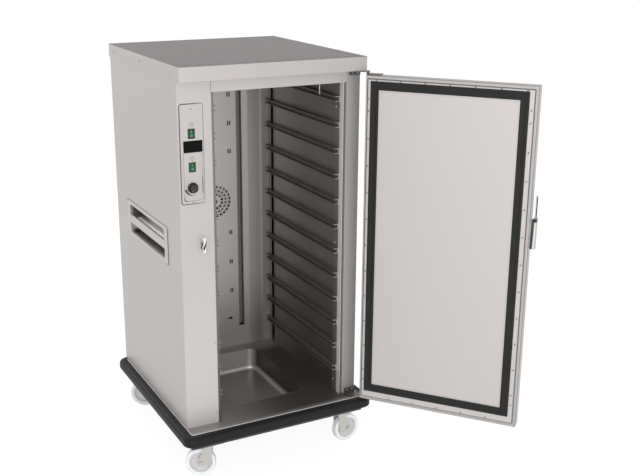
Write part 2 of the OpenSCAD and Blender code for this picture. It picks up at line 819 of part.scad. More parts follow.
// One corner moulding round the base's front right corner, its two legs along the sides
module bumper_corner() {
    leg = corner_leg - bumper_w - base_r;
    rotate([0, 0, -90]) rotate_extrude(angle = 90) translate([base_r, 0]) bumper_section();
    translate([base_r, 0, 0]) bumper_length(leg);
    translate([0, -base_r, 0]) rotate([0, 0, -90]) translate([0, -leg, 0]) bumper_length(leg);
}

module bumper_corners() color(rubber) translate([0, base_cy, base_z])
    for (mx = [0, 1], my = [0, 1]) mirror([mx, 0, 0]) mirror([0, my, 0])
        translate([base_lx / 2 - base_r, -base_ly / 2 + base_r, 0]) bumper_corner();

// Puts a flat outline, drawn round the pocket's middle, on the right side at a given x
module at_pocket(x) {
    translate([x, pocket_y + pocket_w / 2, pocket_z + pocket_h / 2]) rotate([90, 0, 90]) children();
}

// A recessed handle on the right side: flange, pocket and the grip bar across it
module grab_handle() {
    t = sheet;
    r = grip_t / 2;
    difference() {
        union() {
            at_pocket(right_x) linear_extrude(2) round_rect(handle_w, handle_h, 3);
            at_pocket(right_x - handle_depth - t) linear_extrude(handle_depth + t)
                round_rect(pocket_w, pocket_h, pocket_r);
        }
        at_pocket(right_x - handle_depth) linear_extrude(handle_depth + 3)
            round_rect(pocket_w - 2 * t, pocket_h - 2 * t, pocket_r - t);
    }
    translate([right_x + 1.5 - r, pocket_y, grip_z]) {
        slab([-r, 0, -grip_h / 2 + r], [r, pocket_w, grip_h / 2 - r]);
        for (z = [-1, 1]) translate([0, 0, z * (grip_h / 2 - r)])
            rotate([-90, 0, 0]) cylinder(r = r, h = pocket_w);
    }
}

module grab_handle_left() color(steel) mirror([1, 0, 0]) grab_handle();

module grab_handle_right() color(steel) grab_handle();

module control_plate() color(steel) difference() {
    translate([panel_l + panel_w / 2, front_y, panel_b + panel_h / 2]) rotate([90, 0, 0])
        linear_extrude(panel_t) round_rect(panel_w, panel_h, 8);
    control_cutouts(1);
}

module display_window() color(black) {
    slab([panel_l + 14, front_y - panel_t - 0.6, display_z - 22],
        [panel_l + panel_w - 6, front_y + sheet, display_z + 22]);
    slab([panel_l + 10, front_y + sheet, display_z - 27],
        [panel_l + panel_w - 2, front_y + 24, display_z + 27]);
}

// Frame and case of a rocker switch round its pivot, which lies at the origin
module switch_housing() difference() {
    w = rocker_w / 2;
    h = rocker_h / 2;
    union() {
        slab([-w - 2, -panel_t, -h - 3], [w + 2, 24, h + 3]);
        slab([-w - 3.5, -panel_t - 1.4, -h - 4.5], [w + 3.5, -panel_t, h + 4.5]);
    }
    slab([-w - fit_gap, -panel_t - 2, -h - 1], [w + fit_gap, rocker_back + 5, h + 1]);
    translate([-w - 1.6, 3, 0]) rotate([0, 90, 0]) cylinder(r = 1.5 + run_fit, h = rocker_w + 3.2);
}

module switch_housings() color(black)
    for (z = [rocker_z1, rocker_z2]) translate([panel_c, front_y, z]) switch_housing();

// The rocker: a paddle with two faces in a shallow V, pressed in at its upper half
module rocker() {
    h = rocker_h / 2;
    face = -panel_t - 2.4;
    drop = h * tan(rocker_tilt);
    translate([0, 3, 0]) rotate([-rocker_tilt, 0, 0]) translate([0, -3, 0]) {
        translate([-rocker_w / 2, 0, 0]) rotate([90, 0, 90]) linear_extrude(rocker_w)
            polygon([[face, 0], [face + drop, h], [rocker_back - 4, h - 2],
                [rocker_back, 0], [rocker_back - 4, -h + 2], [face + drop, -h]]);
        translate([-rocker_w / 2 - 1.2, 3, 0]) rotate([0, 90, 0]) cylinder(r = 1.5, h = rocker_w + 2.4);
    }
}

module power_switch() color(green) translate([panel_c, front_y, rocker_z1]) rocker();

module humidity_switch() color(green) translate([panel_c, front_y, rocker_z2]) rocker();

module thermostat_body() color(steel_dark) difference() {
    translate([panel_c, front_y + sheet, knob_z]) rotate([-90, 0, 0]) {
        cylinder(r = 20, h = 26);
        translate([-24, -12, 0]) cube([48, 24, 4]);
    }
    translate([panel_c, front_y - 1, knob_z]) rotate([-90, 0, 0]) cylinder(r = shaft_r + run_fit, h = 21);
}

module thermostat_knob() color(black) translate([panel_c, front_y - panel_t - fit_gap, knob_z])
    rotate([90, 0, 0]) {
    r = knob_d / 2;
    difference() {
        union() {
            cylinder(r = r, h = 3);
            cylinder(r1 = r * 0.8, r2 = r * 0.74, h = 19);
            translate([0, 0, 19]) cylinder(r1 = r * 0.74, r2 = r * 0.62, h = 2);
        }
        for (i = [0:15]) rotate([0, 0, i * 22.5 + 11.25]) translate([r * 0.86, 0, 4])
            cylinder(r = 2.6, h = 20);
    }
    rotate([0, 0, 225]) slab([r * 0.3, -0.8, 20], [r * 0.7, 0.8, 21.6]);
    translate([0, 0, -20]) cylinder(r = shaft_r, h = 22);
}

module temperature_probe() color(steel) translate([probe_x, probe_y, head_z]) {
    translate([0, 0, -probe_len]) cylinder(r = 3, h = probe_len + 6);
    translate([0, 0, -probe_len]) sphere(r = 3);
    translate([0, 0, -3]) cylinder(r = 8, h = 3);
    translate([0, 0, -0.001]) cylinder(r = 4.8, h = 12);
}

// The keeper: a base on the column and two cheeks with an upright roller pin between them
module latch_keeper() color(steel) {
    x1 = axis_x + door_free - 3;
    x0 = x1 - 20;
    z0 = base_z + keeper_z;
    slab([x0, front_y - 3, z0], [x1, front_y, z0 + 58]);
    for (z = [z0, z0 + 54])
        translate([0, 0, z]) {
            slab([x0, front_y - 27, 0], [x1, front_y - 3, 4]);
            translate([(x0 + x1) / 2, front_y - 25, 0]) cylinder(r = 10, h = 4);
        }
    translate([(x0 + x1) / 2, front_y - 25, z0]) cylinder(r = 6, h = 54);
}

module door_skin() color(steel) on_door() difference() {
    t = sheet;
    y1 = door_face + skin_d;
    slab([door_free, door_face, door_bottom], [-axis_to_door, door_back - 0.5, door_bottom + door_h]);
    slab([door_free + rim_w, y1, door_bottom + rim_w],
        [-axis_to_door - rim_w, door_back, door_bottom + door_h - rim_w]);
    slab([door_free + t, door_face + t, door_bottom + t],
        [-axis_to_door - t, y1 - t, door_bottom + door_h - t]);
    slab([door_free + 24, y1 - t - 1, door_bottom + 24],
        [-axis_to_door - 24, y1 + 1, door_bottom + door_h - 24]);
}

// The inner panel: a tray with hemmed edges and a shallow raised field inside the gasket
module door_inner_panel() color(steel) on_door() {
    y0 = door_face + skin_d;
    i = door_inset;
    f = gasket_w + 6;
    slab([door_free + i, y0, door_bottom + i],
        [-axis_to_door - hinge_inset, door_back, door_bottom + door_h - i]);
    slab([door_free + gasket_free + f, door_back, door_bottom + gasket_bottom + f],
        [-axis_to_door - gasket_hinge - f, door_back + 1, door_bottom + door_h - gasket_top - f]);
}

module door_core() color(wool) on_door() {
    t = sheet;
    slab([door_free + t, door_face + t, door_bottom + t],
        [-axis_to_door - t, door_face + skin_d - t, door_bottom + door_h - t]);
}

// A rectangular frame lying against the door's inner panel, with bars of width w
module gasket_frame(inset, w, y0, y1) {
    x0 = door_free + gasket_free + inset;
    x1 = -axis_to_door - gasket_hinge - inset;
    z0 = door_bottom + gasket_bottom + inset;
    z1 = door_bottom + door_h - gasket_top - inset;
    difference() {
        slab([x0, y0, z0], [x1, y1, z1]);
        slab([x0 + w, y0 - 1, z0 + w], [x1 - w, y1 + 1, z1 - w]);
    }
}

module door_gasket() color(rubber) on_door() {
    lip = 9;
    h = door_gap - fit_gap;
    gasket_frame(0, gasket_w, door_back, door_back + h * 0.55);
    gasket_frame(1.5, lip, door_back, door_back + h);
    gasket_frame(gasket_w - lip - 1.5, lip, door_back, door_back + h);
}

// Plan of a hinge leaf: a strip along the door's edge with a round end about the axis
module leaf_plan(len, r, deep) {
    translate([-len, -axis_depth]) square([len - axis_to_door, deep]);
    translate([-axis_to_door - 1, -axis_depth]) square([axis_to_door + 1, 2 * axis_depth]);
    circle(r);
}

module hinge_arm() difference() {
    union() {
        linear_extrude(arm_t) leaf_plan(arm_len, 7.5, door_t - 12);
        cylinder(r = knuckle_r, h = knuckle_h);
    }
    translate([0, 0, -1]) cylinder(r = hinge_pin_d / 2 + run_fit, h = knuckle_h + 2);
}

module hinge_arms() color(steel) on_door() {
    translate([0, 0, door_bottom - arm_t]) hinge_arm();
    translate([0, 0, door_bottom + door_h + arm_t]) mirror([0, 0, 1]) hinge_arm();
}

// An angle on the body's face, its pin standing along +Z beyond a washer; its foot is at z = 0
module hinge_bracket(gap) {
    reach = door_gap + door_t - axis_depth;
    linear_extrude(bracket_t) {
        translate([-bracket_len, -bracket_r]) square([bracket_len, bracket_r + reach]);
        circle(bracket_r);
    }
    slab([-bracket_len, reach - bracket_t, 0], [-axis_out, reach, bracket_h]);
    cylinder(r = 5, h = gap - 0.1);
    cylinder(d = hinge_pin_d, h = gap + knuckle_h);
}

module hinge_bracket_bottom() color(steel)
    translate([axis_x, axis_y, base_z]) hinge_bracket(door_bottom - arm_t);

module hinge_bracket_top() color(steel)
    translate([axis_x, axis_y, cap_z]) mirror([0, 0, 1]) hinge_bracket(door_top_gap - arm_t);

// The latch's case: a block on the door's face, its tapered nose beside the door and two ears
module latch_housing() color(steel) on_door() {
    x0 = door_free - latch_nose;
    xm = door_free + 3;
    y1 = door_face;
    ear = 3;
    side = lever_w / 2 + fit_gap;
    difference() {
        union() {
            slab([x0, y1 - housing_t, latch_z], [xm, y1, latch_z + latch_h]);
            translate([x0, 0, latch_z]) rotate([90, 0, 90]) linear_extrude(latch_nose - 1.5)
                polygon([[y1 - 1, 4], [y1 + 16, 4], [y1 + 3, latch_h - 4], [y1 - 1, latch_h - 4]]);
            slab([xm, y1 - 3, latch_z + 8], [xm + 42, y1, latch_z + latch_h - 8]);
            for (x = [-1, 1]) translate([lever_x + x * (side + ear / 2), lever_y, 0])
                rotate([0, 90, 0]) translate([0, 0, -ear / 2]) linear_extrude(ear)
                    strap([-lever_z, 0], lever_r, [-latch_z - latch_h + 14, 0], lever_r);
        }
        slab([lever_x - side, y1 - housing_t - 1, latch_z + latch_h - 20],
            [lever_x + side, y1 - 3, latch_z + latch_h + 1]);
    }
    translate([lever_x - side - ear - 1, lever_y, lever_z]) rotate([0, 90, 0])
        cylinder(r = lever_pin_r, h = 2 * (side + ear + 1));
}

module latch_lever() color(steel) on_door() translate([lever_x, lever_y, lever_z]) difference() {
    t = 3;
    curl = 5;
    union() {
        rotate([0, 90, 0]) translate([0, 0, -lever_w / 2]) cylinder(r = lever_r, h = lever_w);
        slab([-lever_w / 2, -lever_r, 0], [lever_w / 2, -lever_r + t, lever_len - 2 * curl]);
        translate([-lever_w / 2, -lever_r - curl, lever_len - 2 * curl]) rotate([90, 0, 90])
            rotate_extrude(angle = 150) translate([curl, 0]) square([t, lever_w]);
        slab([-lever_w / 2 + 1, -2, -8], [lever_w / 2 - 1, 2, 0]);
    }
    rotate([0, 90, 0]) translate([0, 0, -lever_w]) cylinder(r = lever_pin_r + run_fit, h = 2 * lever_w);
}

module door_screws() color(steel) on_door() {
    x0 = door_free + (door_inset + gasket_free) / 2;
    x1 = -axis_to_door - (hinge_inset + gasket_hinge) / 2;
    z0 = door_bottom + door_inset + 6;
    z1 = door_bottom + door_h - (door_inset + gasket_top) / 2;
    rows = concat([z0 + 73], spread(z0 + 118, z1 - 122, 11), [z1 - 74]);
    places = concat(
        [for (z = rows, x = [x0, x1]) [x, z]],
        [for (x = spread(x0 + 18, x1 - 30, 7)) [x, z1]], [for (x = spread(x0 + 100, x1 - 120, 5)) [x, z0]]);
    for (p = places) translate([p[0], door_back, p[1]]) rotate([-90, 0, 0]) screw(3.4);
    for (z = [latch_z + 22, latch_z + latch_h - 22], x = [18, 34])
        translate([door_free + x, door_face - 3, z]) rotate([90, 0, 0]) screw(3);
}

module body_screws() color(steel) {
    x = right_x + cap_proud;
    for (m = [0, 1]) mirror([m, 0, 0]) for (y = [42, 399, body_d - 60])
        translate([x, front_y + y, cap_z + cap_h / 2]) rotate([0, 90, 0]) screw(5);
    for (z = [51, cavity_h / 2, cavity_h - 104])
        for (m = [0, 1]) translate([m * 2 * cav_x, 0, 0]) mirror([m, 0, 0])
            translate([cav_r - post_t, front_y + post_y + post_w / 2 + 8, base_z + z])
                rotate([0, -90, 0]) screw(4);
    for (z = [panel_b + 11, panel_b + panel_h - 21])
        translate([panel_c, front_y - panel_t, z]) rotate([90, 0, 0]) screw(4);
    for (z = [44, 352])
        translate([cav_l - strip_w - 6, front_y, base_z + z]) rotate([90, 0, 0]) screw(3);
    for (dx = [18, 42], z = [base_z + bracket_h - 9, cap_z - bracket_h + 9])
        translate([axis_x - dx, front_y - bracket_t, z]) rotate([90, 0, 0]) screw(3.5);
    for (z = spread(base_z + 40, cap_z - 40, 6), s = [-1, 1])
        translate([s * (right_x - 22), back_y, z]) rotate([-90, 0, 0]) screw(4);
    for (s = [-1, 1]) for (y = [6, handle_w - 6]) for (z = [8, handle_h - 8])
        translate([s * (right_x + 2), front_y + handle_y + y, base_z + handle_z + z])
            rotate([0, s * 90, 0]) screw(2.6);
}

// The mains inlet's place low on the rear panel, with its own Z pointing out of the back
module inlet_place() translate([left_x + 110, back_y, base_z + 90]) rotate([-90, 0, 0]) children();

module power_inlet() color(black) inlet_place() {
    difference() {
        union() {
            translate([0, 0, -24]) linear_extrude(24) round_rect(inlet_w - 2, inlet_h - 2, 3);
            linear_extrude(3) round_rect(inlet_w + 14, inlet_h + 4, 4);
        }
        translate([0, 0, -15]) linear_extrude(20) round_rect(28, 20, 4);
    }
    for (x = [-7, 0, 7]) slab([x - 1, (x == 0 ? 2 : -4) - 2, -15], [x + 1, (x == 0 ? 2 : -4) + 2, -5]);
}

// The fixed top plate of a castor with its king pin, under the chassis at the origin
module castor_plate() {
    difference() {
        translate([0, 0, -plate_t]) linear_extrude(plate_t) round_rect(plate_w, plate_l, 8);
        for (x = [-1, 1], y = [-1, 1]) translate([x * bolt_x, y * bolt_y, -plate_t - 1])
            cylinder(d = bolt_d + slip, h = plate_t + 2);
    }
    translate([0, 0, -plate_t - race_h]) cylinder(r = race_r, h = race_h);
    translate([0, 0, crown_z - castor_h - 8]) cylinder(r = king_r, h = 12);
    translate([0, 0, crown_z - castor_h - 8]) cylinder(r = king_r + 4, h = 3.6);
}

module castor_plates() color(steel) for (c = castor_at) translate([c[0], c[1], castor_h]) castor_plate();

module castor_bolts() color(steel) for (c = castor_at, x = [-1, 1], y = [-1, 1])
    translate([c[0] + x * bolt_x, c[1] + y * bolt_y, castor_h]) {
        translate([0, 0, -plate_t - 4]) cylinder(d = 13, h = 4, $fn = 6);
        translate([0, 0, -plate_t]) cylinder(d = bolt_d, h = plate_t + chassis_sheet + 8);
        translate([0, 0, chassis_sheet]) cylinder(d = 13, h = 5, $fn = 6);
    }

// Turns a child about a castor's swivel axis; the wheel trails towards the child's +X
module on_castor(i) {
    translate([castor_at[i][0], castor_at[i][1], 0]) rotate([0, 0, castor_turn[i]]) children();
}

// The swivel fork with its crown, two leaning legs and the axle bolt
module castor_fork(i) color(steel) on_castor(i) {
    axle = [castor_trail, wheel_d / 2];
    difference() {
        union() {
            translate([0, 0, crown_z - crown_t]) {
                linear_extrude(crown_t) square([46, 2 * (leg_y + leg_t)], center = true);
                cylinder(r = race_r, h = crown_t);
            }
            for (s = [-1, 1]) translate([0, s * (leg_y + leg_t / 2), 0]) rotate([90, 0, 0])
                translate([0, 0, -leg_t / 2]) linear_extrude(leg_t) {
                    strap([4, crown_z - 17], 17, axle, 13);
                    translate([-13, crown_z - 17]) square([34, 17]);
                    polygon([[-13, crown_z - 17], [-9, axle[1] - 9], [axle[0], axle[1] - 13], axle,
                        [4, crown_z - 17]]);
                }
        }
        translate([0, 0, crown_z - 5]) cylinder(r = king_r + run_fit, h = 12);
    }
    translate([castor_trail, 0, wheel_d / 2]) rotate([90, 0, 0]) {
        translate([0, 0, -leg_y - leg_t - 2]) cylinder(d = axle_d, h = 2 * (leg_y + leg_t + 2));
        for (s = [-1, 1]) translate([0, 0, s * (leg_y + leg_t + 2.5) - 2.5])
            cylinder(d = axle_d + 7, h = 5, $fn = 6);
    }
}

// Half section of a wheel: round tread, stepped side faces and a hub boss
module wheel_section() {
    r = wheel_d / 2;
    w = wheel_w / 2;
    e = 7;
    bore = axle_d / 2 + run_fit;
    translate([bore, fit_gap - leg_y]) square([11 - bore, 2 * (leg_y - fit_gap)]);
    translate([bore, -w + 3]) square([r * 0.62 - bore, 2 * w - 6]);
    translate([r * 0.4, -w + 8]) square([r * 0.5, 2 * w - 16]);
    translate([r * 0.72, -w + 1]) square([r * 0.28 - e, 2 * w - 2]);
    translate([r * 0.8, -w + e]) square([r * 0.2, 2 * w - 2 * e]);
    for (y = [-1, 1]) translate([r - e, y * (w - e)]) circle(e);
    translate([r - 2 * e, -w + 0.5]) square([e, 2 * w - 1]);
}

module castor_wheel(i) color(tyre_white) on_castor(i) translate([castor_trail, 0, wheel_d / 2])
    rotate([90, 0, 0]) rotate_extrude() wheel_section();

chassis_frame();
base_tray();
water_tank();
side_panel_left();
side_panel_right();
rear_panel();
top_cover();
front_header();
control_column();
hinge_pillar();
liner_left();
liner_right();
liner_ceiling();
liner_rear();
insulation();
air_panel();
fan_motor();
fan_wheel();
air_heater();
tank_heater();
rack_posts_front();
rack_posts_rear();
rails_left();
rails_right();
bumper_rails();
bumper_corners();
grab_handle_left();
grab_handle_right();
control_plate();
display_window();
switch_housings();
power_switch();
humidity_switch();
thermostat_body();
thermostat_knob();
temperature_probe();
latch_keeper();
door_skin();
door_inner_panel();
door_core();
door_gasket();
hinge_arms();
latch_housing();
latch_lever();
door_screws();
hinge_bracket_top();
hinge_bracket_bottom();
body_screws();
power_inlet();
castor_plates();
castor_bolts();
castor_fork(0);  // castor_fork_fl
castor_fork(1);  // castor_fork_fr
castor_fork(2);  // castor_fork_rl
castor_fork(3);  // castor_fork_rr
castor_wheel(0);  // castor_wheel_fl
castor_wheel(1);  // castor_wheel_fr
castor_wheel(2);  // castor_wheel_rl
castor_wheel(3);  // castor_wheel_rr
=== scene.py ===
# Heated banquet cart, dressed for its photograph: brushed stainless cabinet with its door open,
# rails and a water tank inside, a black bumper round the base and pale castors.
import json
import math

import bmesh
import bpy
import numpy as np
from mathutils import Matrix, Vector


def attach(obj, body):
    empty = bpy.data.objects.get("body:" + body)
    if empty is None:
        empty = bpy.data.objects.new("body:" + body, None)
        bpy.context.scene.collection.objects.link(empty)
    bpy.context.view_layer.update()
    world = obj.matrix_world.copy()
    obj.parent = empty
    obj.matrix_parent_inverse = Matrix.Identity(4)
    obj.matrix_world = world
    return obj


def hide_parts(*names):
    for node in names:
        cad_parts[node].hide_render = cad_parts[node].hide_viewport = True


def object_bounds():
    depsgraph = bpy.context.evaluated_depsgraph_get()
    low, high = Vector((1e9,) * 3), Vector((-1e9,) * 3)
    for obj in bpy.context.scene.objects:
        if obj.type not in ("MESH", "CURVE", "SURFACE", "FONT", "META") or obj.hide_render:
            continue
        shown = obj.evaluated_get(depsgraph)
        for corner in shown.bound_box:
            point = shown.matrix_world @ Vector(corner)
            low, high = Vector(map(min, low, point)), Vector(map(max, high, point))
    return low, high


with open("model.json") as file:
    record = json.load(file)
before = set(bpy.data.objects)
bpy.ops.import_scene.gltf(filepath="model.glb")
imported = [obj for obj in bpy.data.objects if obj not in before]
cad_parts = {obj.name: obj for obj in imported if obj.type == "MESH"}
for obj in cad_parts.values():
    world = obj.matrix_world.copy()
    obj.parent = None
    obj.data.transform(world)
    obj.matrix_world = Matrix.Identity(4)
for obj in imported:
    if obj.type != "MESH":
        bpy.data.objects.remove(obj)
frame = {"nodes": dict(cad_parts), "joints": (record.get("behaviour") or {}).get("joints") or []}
node = frame["nodes"]
cad_low, cad_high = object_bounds()


# ---- Chassis -----------------------------------------------------------------------------
# The base frame is folded from 3 mm steel and powder coated dark grey. The coat has the fine
# orange peel of sprayed powder, with paler rubs where trolleys knock it.
class Wire:
    """A value inside a finish. Arithmetic on it adds the Math nodes that work it out."""

    def __init__(self, finish, socket):
        self.finish, self.socket = finish, socket

    def math(self, operation, *values):
        return self.finish.node("ShaderNodeMath", {"operation": operation}, list(values))

    def __add__(self, other):
        return self.math("ADD", self, other)

    def __radd__(self, other):
        return self.math("ADD", other, self)

    def __sub__(self, other):
        return self.math("SUBTRACT", self, other)

    def __rsub__(self, other):
        return self.math("SUBTRACT", other, self)

    def __mul__(self, other):
        return self.math("MULTIPLY", self, other)

    def __rmul__(self, other):
        return self.math("MULTIPLY", other, self)

    def __truediv__(self, other):
        return self.math("DIVIDE", self, other)

    def __pow__(self, other):
        return self.math("POWER", self, other)

    def __abs__(self):
        return self.math("ABSOLUTE", self)

    def least(self, other):
        return self.math("MINIMUM", self, other)

    def most(self, other):
        return self.math("MAXIMUM", self, other)

    def rises(self, start, end):
        """0 below start, 1 above end, and a smooth step between; start above end makes it fall."""
        return self.finish.node("ShaderNodeMapRange", {"interpolation_type": "SMOOTHSTEP"},
                                {"Value": self, "From Min": start, "From Max": end})


class Finish:
    """One material: a principled shader, and the nodes that vary its colour, gloss and relief."""

    def __init__(self, name, colour, roughness, metallic=0.0, **constants):
        self.material = bpy.data.materials.new(name)
        self.material.use_nodes = True
        self.tree = self.material.node_tree
        self.shader = self.tree.nodes["Principled BSDF"]
        self.put("Base Color", (*colour, 1.0))
        self.put("Roughness", roughness)
        self.put("Metallic", metallic)
        for words, value in constants.items():
            self.put(words.replace("_", " "), value)

    def put(self, socket, value):
        """Sets one socket of the shader, or links a wire to it."""
        if isinstance(value, Wire):
            self.tree.links.new(value.socket, self.shader.inputs[socket])
        else:
            self.shader.inputs[socket].default_value = value

    def node(self, kind, settings=None, values=(), output=0):
        """Adds any node: its settings first, then the values or wires of its sockets."""
        made = self.tree.nodes.new(kind)
        for key, value in (settings or {}).items():
            setattr(made, key, value)
        for key, value in values.items() if isinstance(values, dict) else enumerate(values):
            if isinstance(value, Wire):
                self.tree.links.new(value.socket, made.inputs[key])
            else:
                made.inputs[key].default_value = value
        return Wire(self, made.outputs[output])

    def place(self):
        """Where a point is in the row's frame, in metres: every object sits at the origin."""
        return self.node("ShaderNodeTexCoord", output=3)

    def axes(self):
        """The place's X, Y and Z, each as a wire."""
        spot = self.place()
        return [self.node("ShaderNodeSeparateXYZ", None, [spot], i) for i in range(3)]

    def noise(self, stretch, detail=2.0, roughness=0.5):
        """Noise of about 0 to 1 with so many features a metre along each axis."""
        spot = self.node("ShaderNodeMapping", None, {"Vector": self.place(), "Scale": stretch})
        return self.node("ShaderNodeTexNoise", None,
                         {"Vector": spot, "Scale": 1.0, "Detail": detail, "Roughness": roughness})

    def blend(self, low, high, amount):
        """A colour between two others."""
        pair = [c if isinstance(c, Wire) else (*c, 1.0) for c in (low, high)]
        return self.node("ShaderNodeMix", {"data_type": "RGBA"},
                         {0: amount, 6: pair[0], 7: pair[1]}, 2)

    def emboss(self, height, depth, edge=0.0):
        """Raises the surface by height times depth, in metres. An edge radius rounds corners."""
        relief = {"Strength": 1.0, "Distance": depth, "Height": height}
        if edge:
            relief["Normal"] = self.node("ShaderNodeBevel", {"samples": 4}, {"Radius": edge})
        self.put("Normal", self.node("ShaderNodeBump", None, relief))


def shade(colour, factor):
    """A darker or lighter tone of a colour."""
    return tuple(min(1.0, c * factor) for c in colour)


def dress(finish, *names):
    """Gives CAD nodes their finish."""
    for name in names:
        mesh = node[name].data
        mesh.materials.clear()
        mesh.materials.append(finish.material)


def powder_coat(name, colour):
    """Sprayed powder: small round lumps in the relief, and paler, duller worn clouds."""
    coat = Finish(name, colour, 0.42)
    peel = coat.noise((900, 900, 900), 1.0)
    worn = coat.noise((14, 14, 14), 4.0, 0.6).rises(0.56, 0.72)
    coat.put("Base Color",
             coat.blend(shade(colour, 0.88), shade(colour, 1.7), worn * 0.55 + peel * 0.2))
    coat.put("Roughness", 0.36 + worn * 0.2 + peel * 0.08)
    coat.emboss(peel, 0.00006)
    return coat


dress(powder_coat("chassis_coat", (0.055, 0.054, 0.056)), "chassis_frame")


# ---- Body sheets ---------------------------------------------------------------------------
# Sides, back, column, header and hinge pillar are 1.5 mm stainless sheet with a fine upright
# brushed grain, so fine that they look satin from a step away. A thin dark joint parts the column
# from the header. The column's front is painted paler towards the bottom as light; the pillar is
# painted darker as shade, lighter to its left, with a painted highlight along its fold at the
# cavity.
cavity_x, cavity_right = 0.0365, 0.3150
front_face, column_edge, header_foot = -0.4000, -0.2520, 1.5810
pillar_left, pillar_right = 0.3290, 0.3870


def brushed_sheet(name, colour, roughness=0.46, grain="z", metallic=0.5, variation=0.012,
                  clouds=0.05, edge=0.0008):
    """Brushed stainless: noise drawn out along the grain, in hair-fine and in broad streaks, tints
    and roughens the sheet and scores its surface; slow clouds of handling marks lie over it."""
    sheet = Finish(name, colour, roughness, metallic)
    hair = sheet.noise([7 if axis == grain else 1100 for axis in "xyz"], 3.0)
    streak = sheet.noise([1.1 if axis == grain else 95 for axis in "xyz"], 2.0)
    cloud = sheet.noise((3.1, 3.1, 2.3), 3.0, 0.55)
    sheet.steel = sheet.blend(
        shade(colour, 1 - 4 * variation), shade(colour, 1 + 4 * variation),
        0.5 + (hair - 0.5) * 0.9 + (streak - 0.5) * 0.6 + (cloud - 0.5) * 0.4)
    sheet.put("Base Color", sheet.steel)
    sheet.put("Roughness", roughness + (hair - 0.5) * 0.14 + (streak - 0.5) * 0.04
              + (cloud - 0.5) * clouds)
    sheet.emboss(hair, 0.000012, edge)
    sheet.hair, sheet.cloud = hair, cloud
    return sheet


shell = brushed_sheet("shell_sheet", (0.508, 0.480, 0.466))
shell_x, shell_y, shell_z = shell.axes()
on_front = shell_y.rises(front_face + 0.002, front_face + 0.001)
joint_line = (abs(shell_x - column_edge).rises(0.0016, 0.0008) * on_front
              * shell_z.rises(header_foot - 0.0010, header_foot + 0.0005))
# Painted light: the column's front is painted paler towards the bottom.
painted_light_below = shell_z.rises(1.25, 0.30) * on_front
shell.put("Base Color", shell.blend(
    shell.blend(shell.steel, (0.600, 0.568, 0.552), painted_light_below * 0.85),
    (0.10, 0.095, 0.09), joint_line * 0.7))
dress(shell, "side_panel_left", "side_panel_right", "rear_panel", "front_header", "control_column")

# Painted shade: the pillar is a darker copy of the body sheet, darker again from left to right.
pillar = brushed_sheet("pillar_sheet", (0.355, 0.335, 0.322))
pillar_x, _, _ = pillar.axes()
shaded_face = pillar.blend((0.46, 0.435, 0.42), (0.255, 0.245, 0.240),
                           pillar_x.rises(pillar_left, pillar_right))
# Painted highlight: a pale strip where the pillar folds in at the cavity.
pillar.put("Base Color", pillar.blend(
    pillar.blend(pillar.steel, shaded_face, 0.85), (0.97, 0.94, 0.92),
    pillar_x.rises(cavity_right + 0.0022, cavity_right + 0.0014)))
dress(pillar, "hinge_pillar")


# ---- Top cover -----------------------------------------------------------------------------
# One folded and welded cover of the same sheet, grained from side to side. The flat top is painted
# much darker than the skirt as shade, and carries faint crossing scratches.
cover_top = cad_high[2]
cover = brushed_sheet("cover_sheet", (0.500, 0.472, 0.460), grain="x")
_, _, cover_z = cover.axes()
on_top = cover_z.rises(cover_top - 0.0025, cover_top - 0.0003)
scratch = (cover.noise((9, 240, 9), 2.0).rises(0.70, 0.74)
           + cover.noise((210, 12, 9), 2.0).rises(0.72, 0.76))
# Painted shade: the flat top is much darker than the skirt; clouds and scratches vary it.
painted_shade_top = cover.blend((0.195, 0.172, 0.172), (0.220, 0.196, 0.196), cover.cloud + scratch * 0.5)
cover.put("Base Color", cover.blend(cover.steel, painted_shade_top, on_top))
dress(cover, "top_cover")


# ---- Base tray and water tank --------------------------------------------------------------
# The floor is a tray with a thin turned-up lip, painted bright as a highlight; the tank is deep
# drawn, so its mouth rolls over the floor's edge and its corners run softly into the bottom. The
# tray is painted dark as shade behind its front edge, most to the right and least at the rear.
# The tank's right wall and the back of its floor are painted dark as shade, and its bottom fillet
# carries a painted highlight.
tray_top, tray_front = 0.2200, -0.4650
tray_shade_colour = (0.060, 0.052, 0.047)
floor_pan = brushed_sheet("floor_pan_sheet", (0.39, 0.37, 0.36), 0.40, grain="x")
pan_x, pan_y, pan_z = floor_pan.axes()
# Painted highlight: the lip above the tray's top is painted near white.
lip = pan_z.rises(tray_top + 0.0003, tray_top + 0.0012)
# Painted shade: the tray darkens behind its front edge, most to the right, least at the rear.
tray_shade_amount = pan_y.rises(tray_front, tray_front + 0.040) * (0.34 + 0.53 * pan_x.rises(-0.24, 0.12))
tray_shade_amount = tray_shade_amount * (1.0 - 0.9 * pan_y.rises(0.15, 0.26))
floor_pan.put("Base Color", floor_pan.blend(
    floor_pan.blend(floor_pan.steel, tray_shade_colour, tray_shade_amount), (0.95, 0.93, 0.92), lip))
dress(floor_pan, "base_tray")


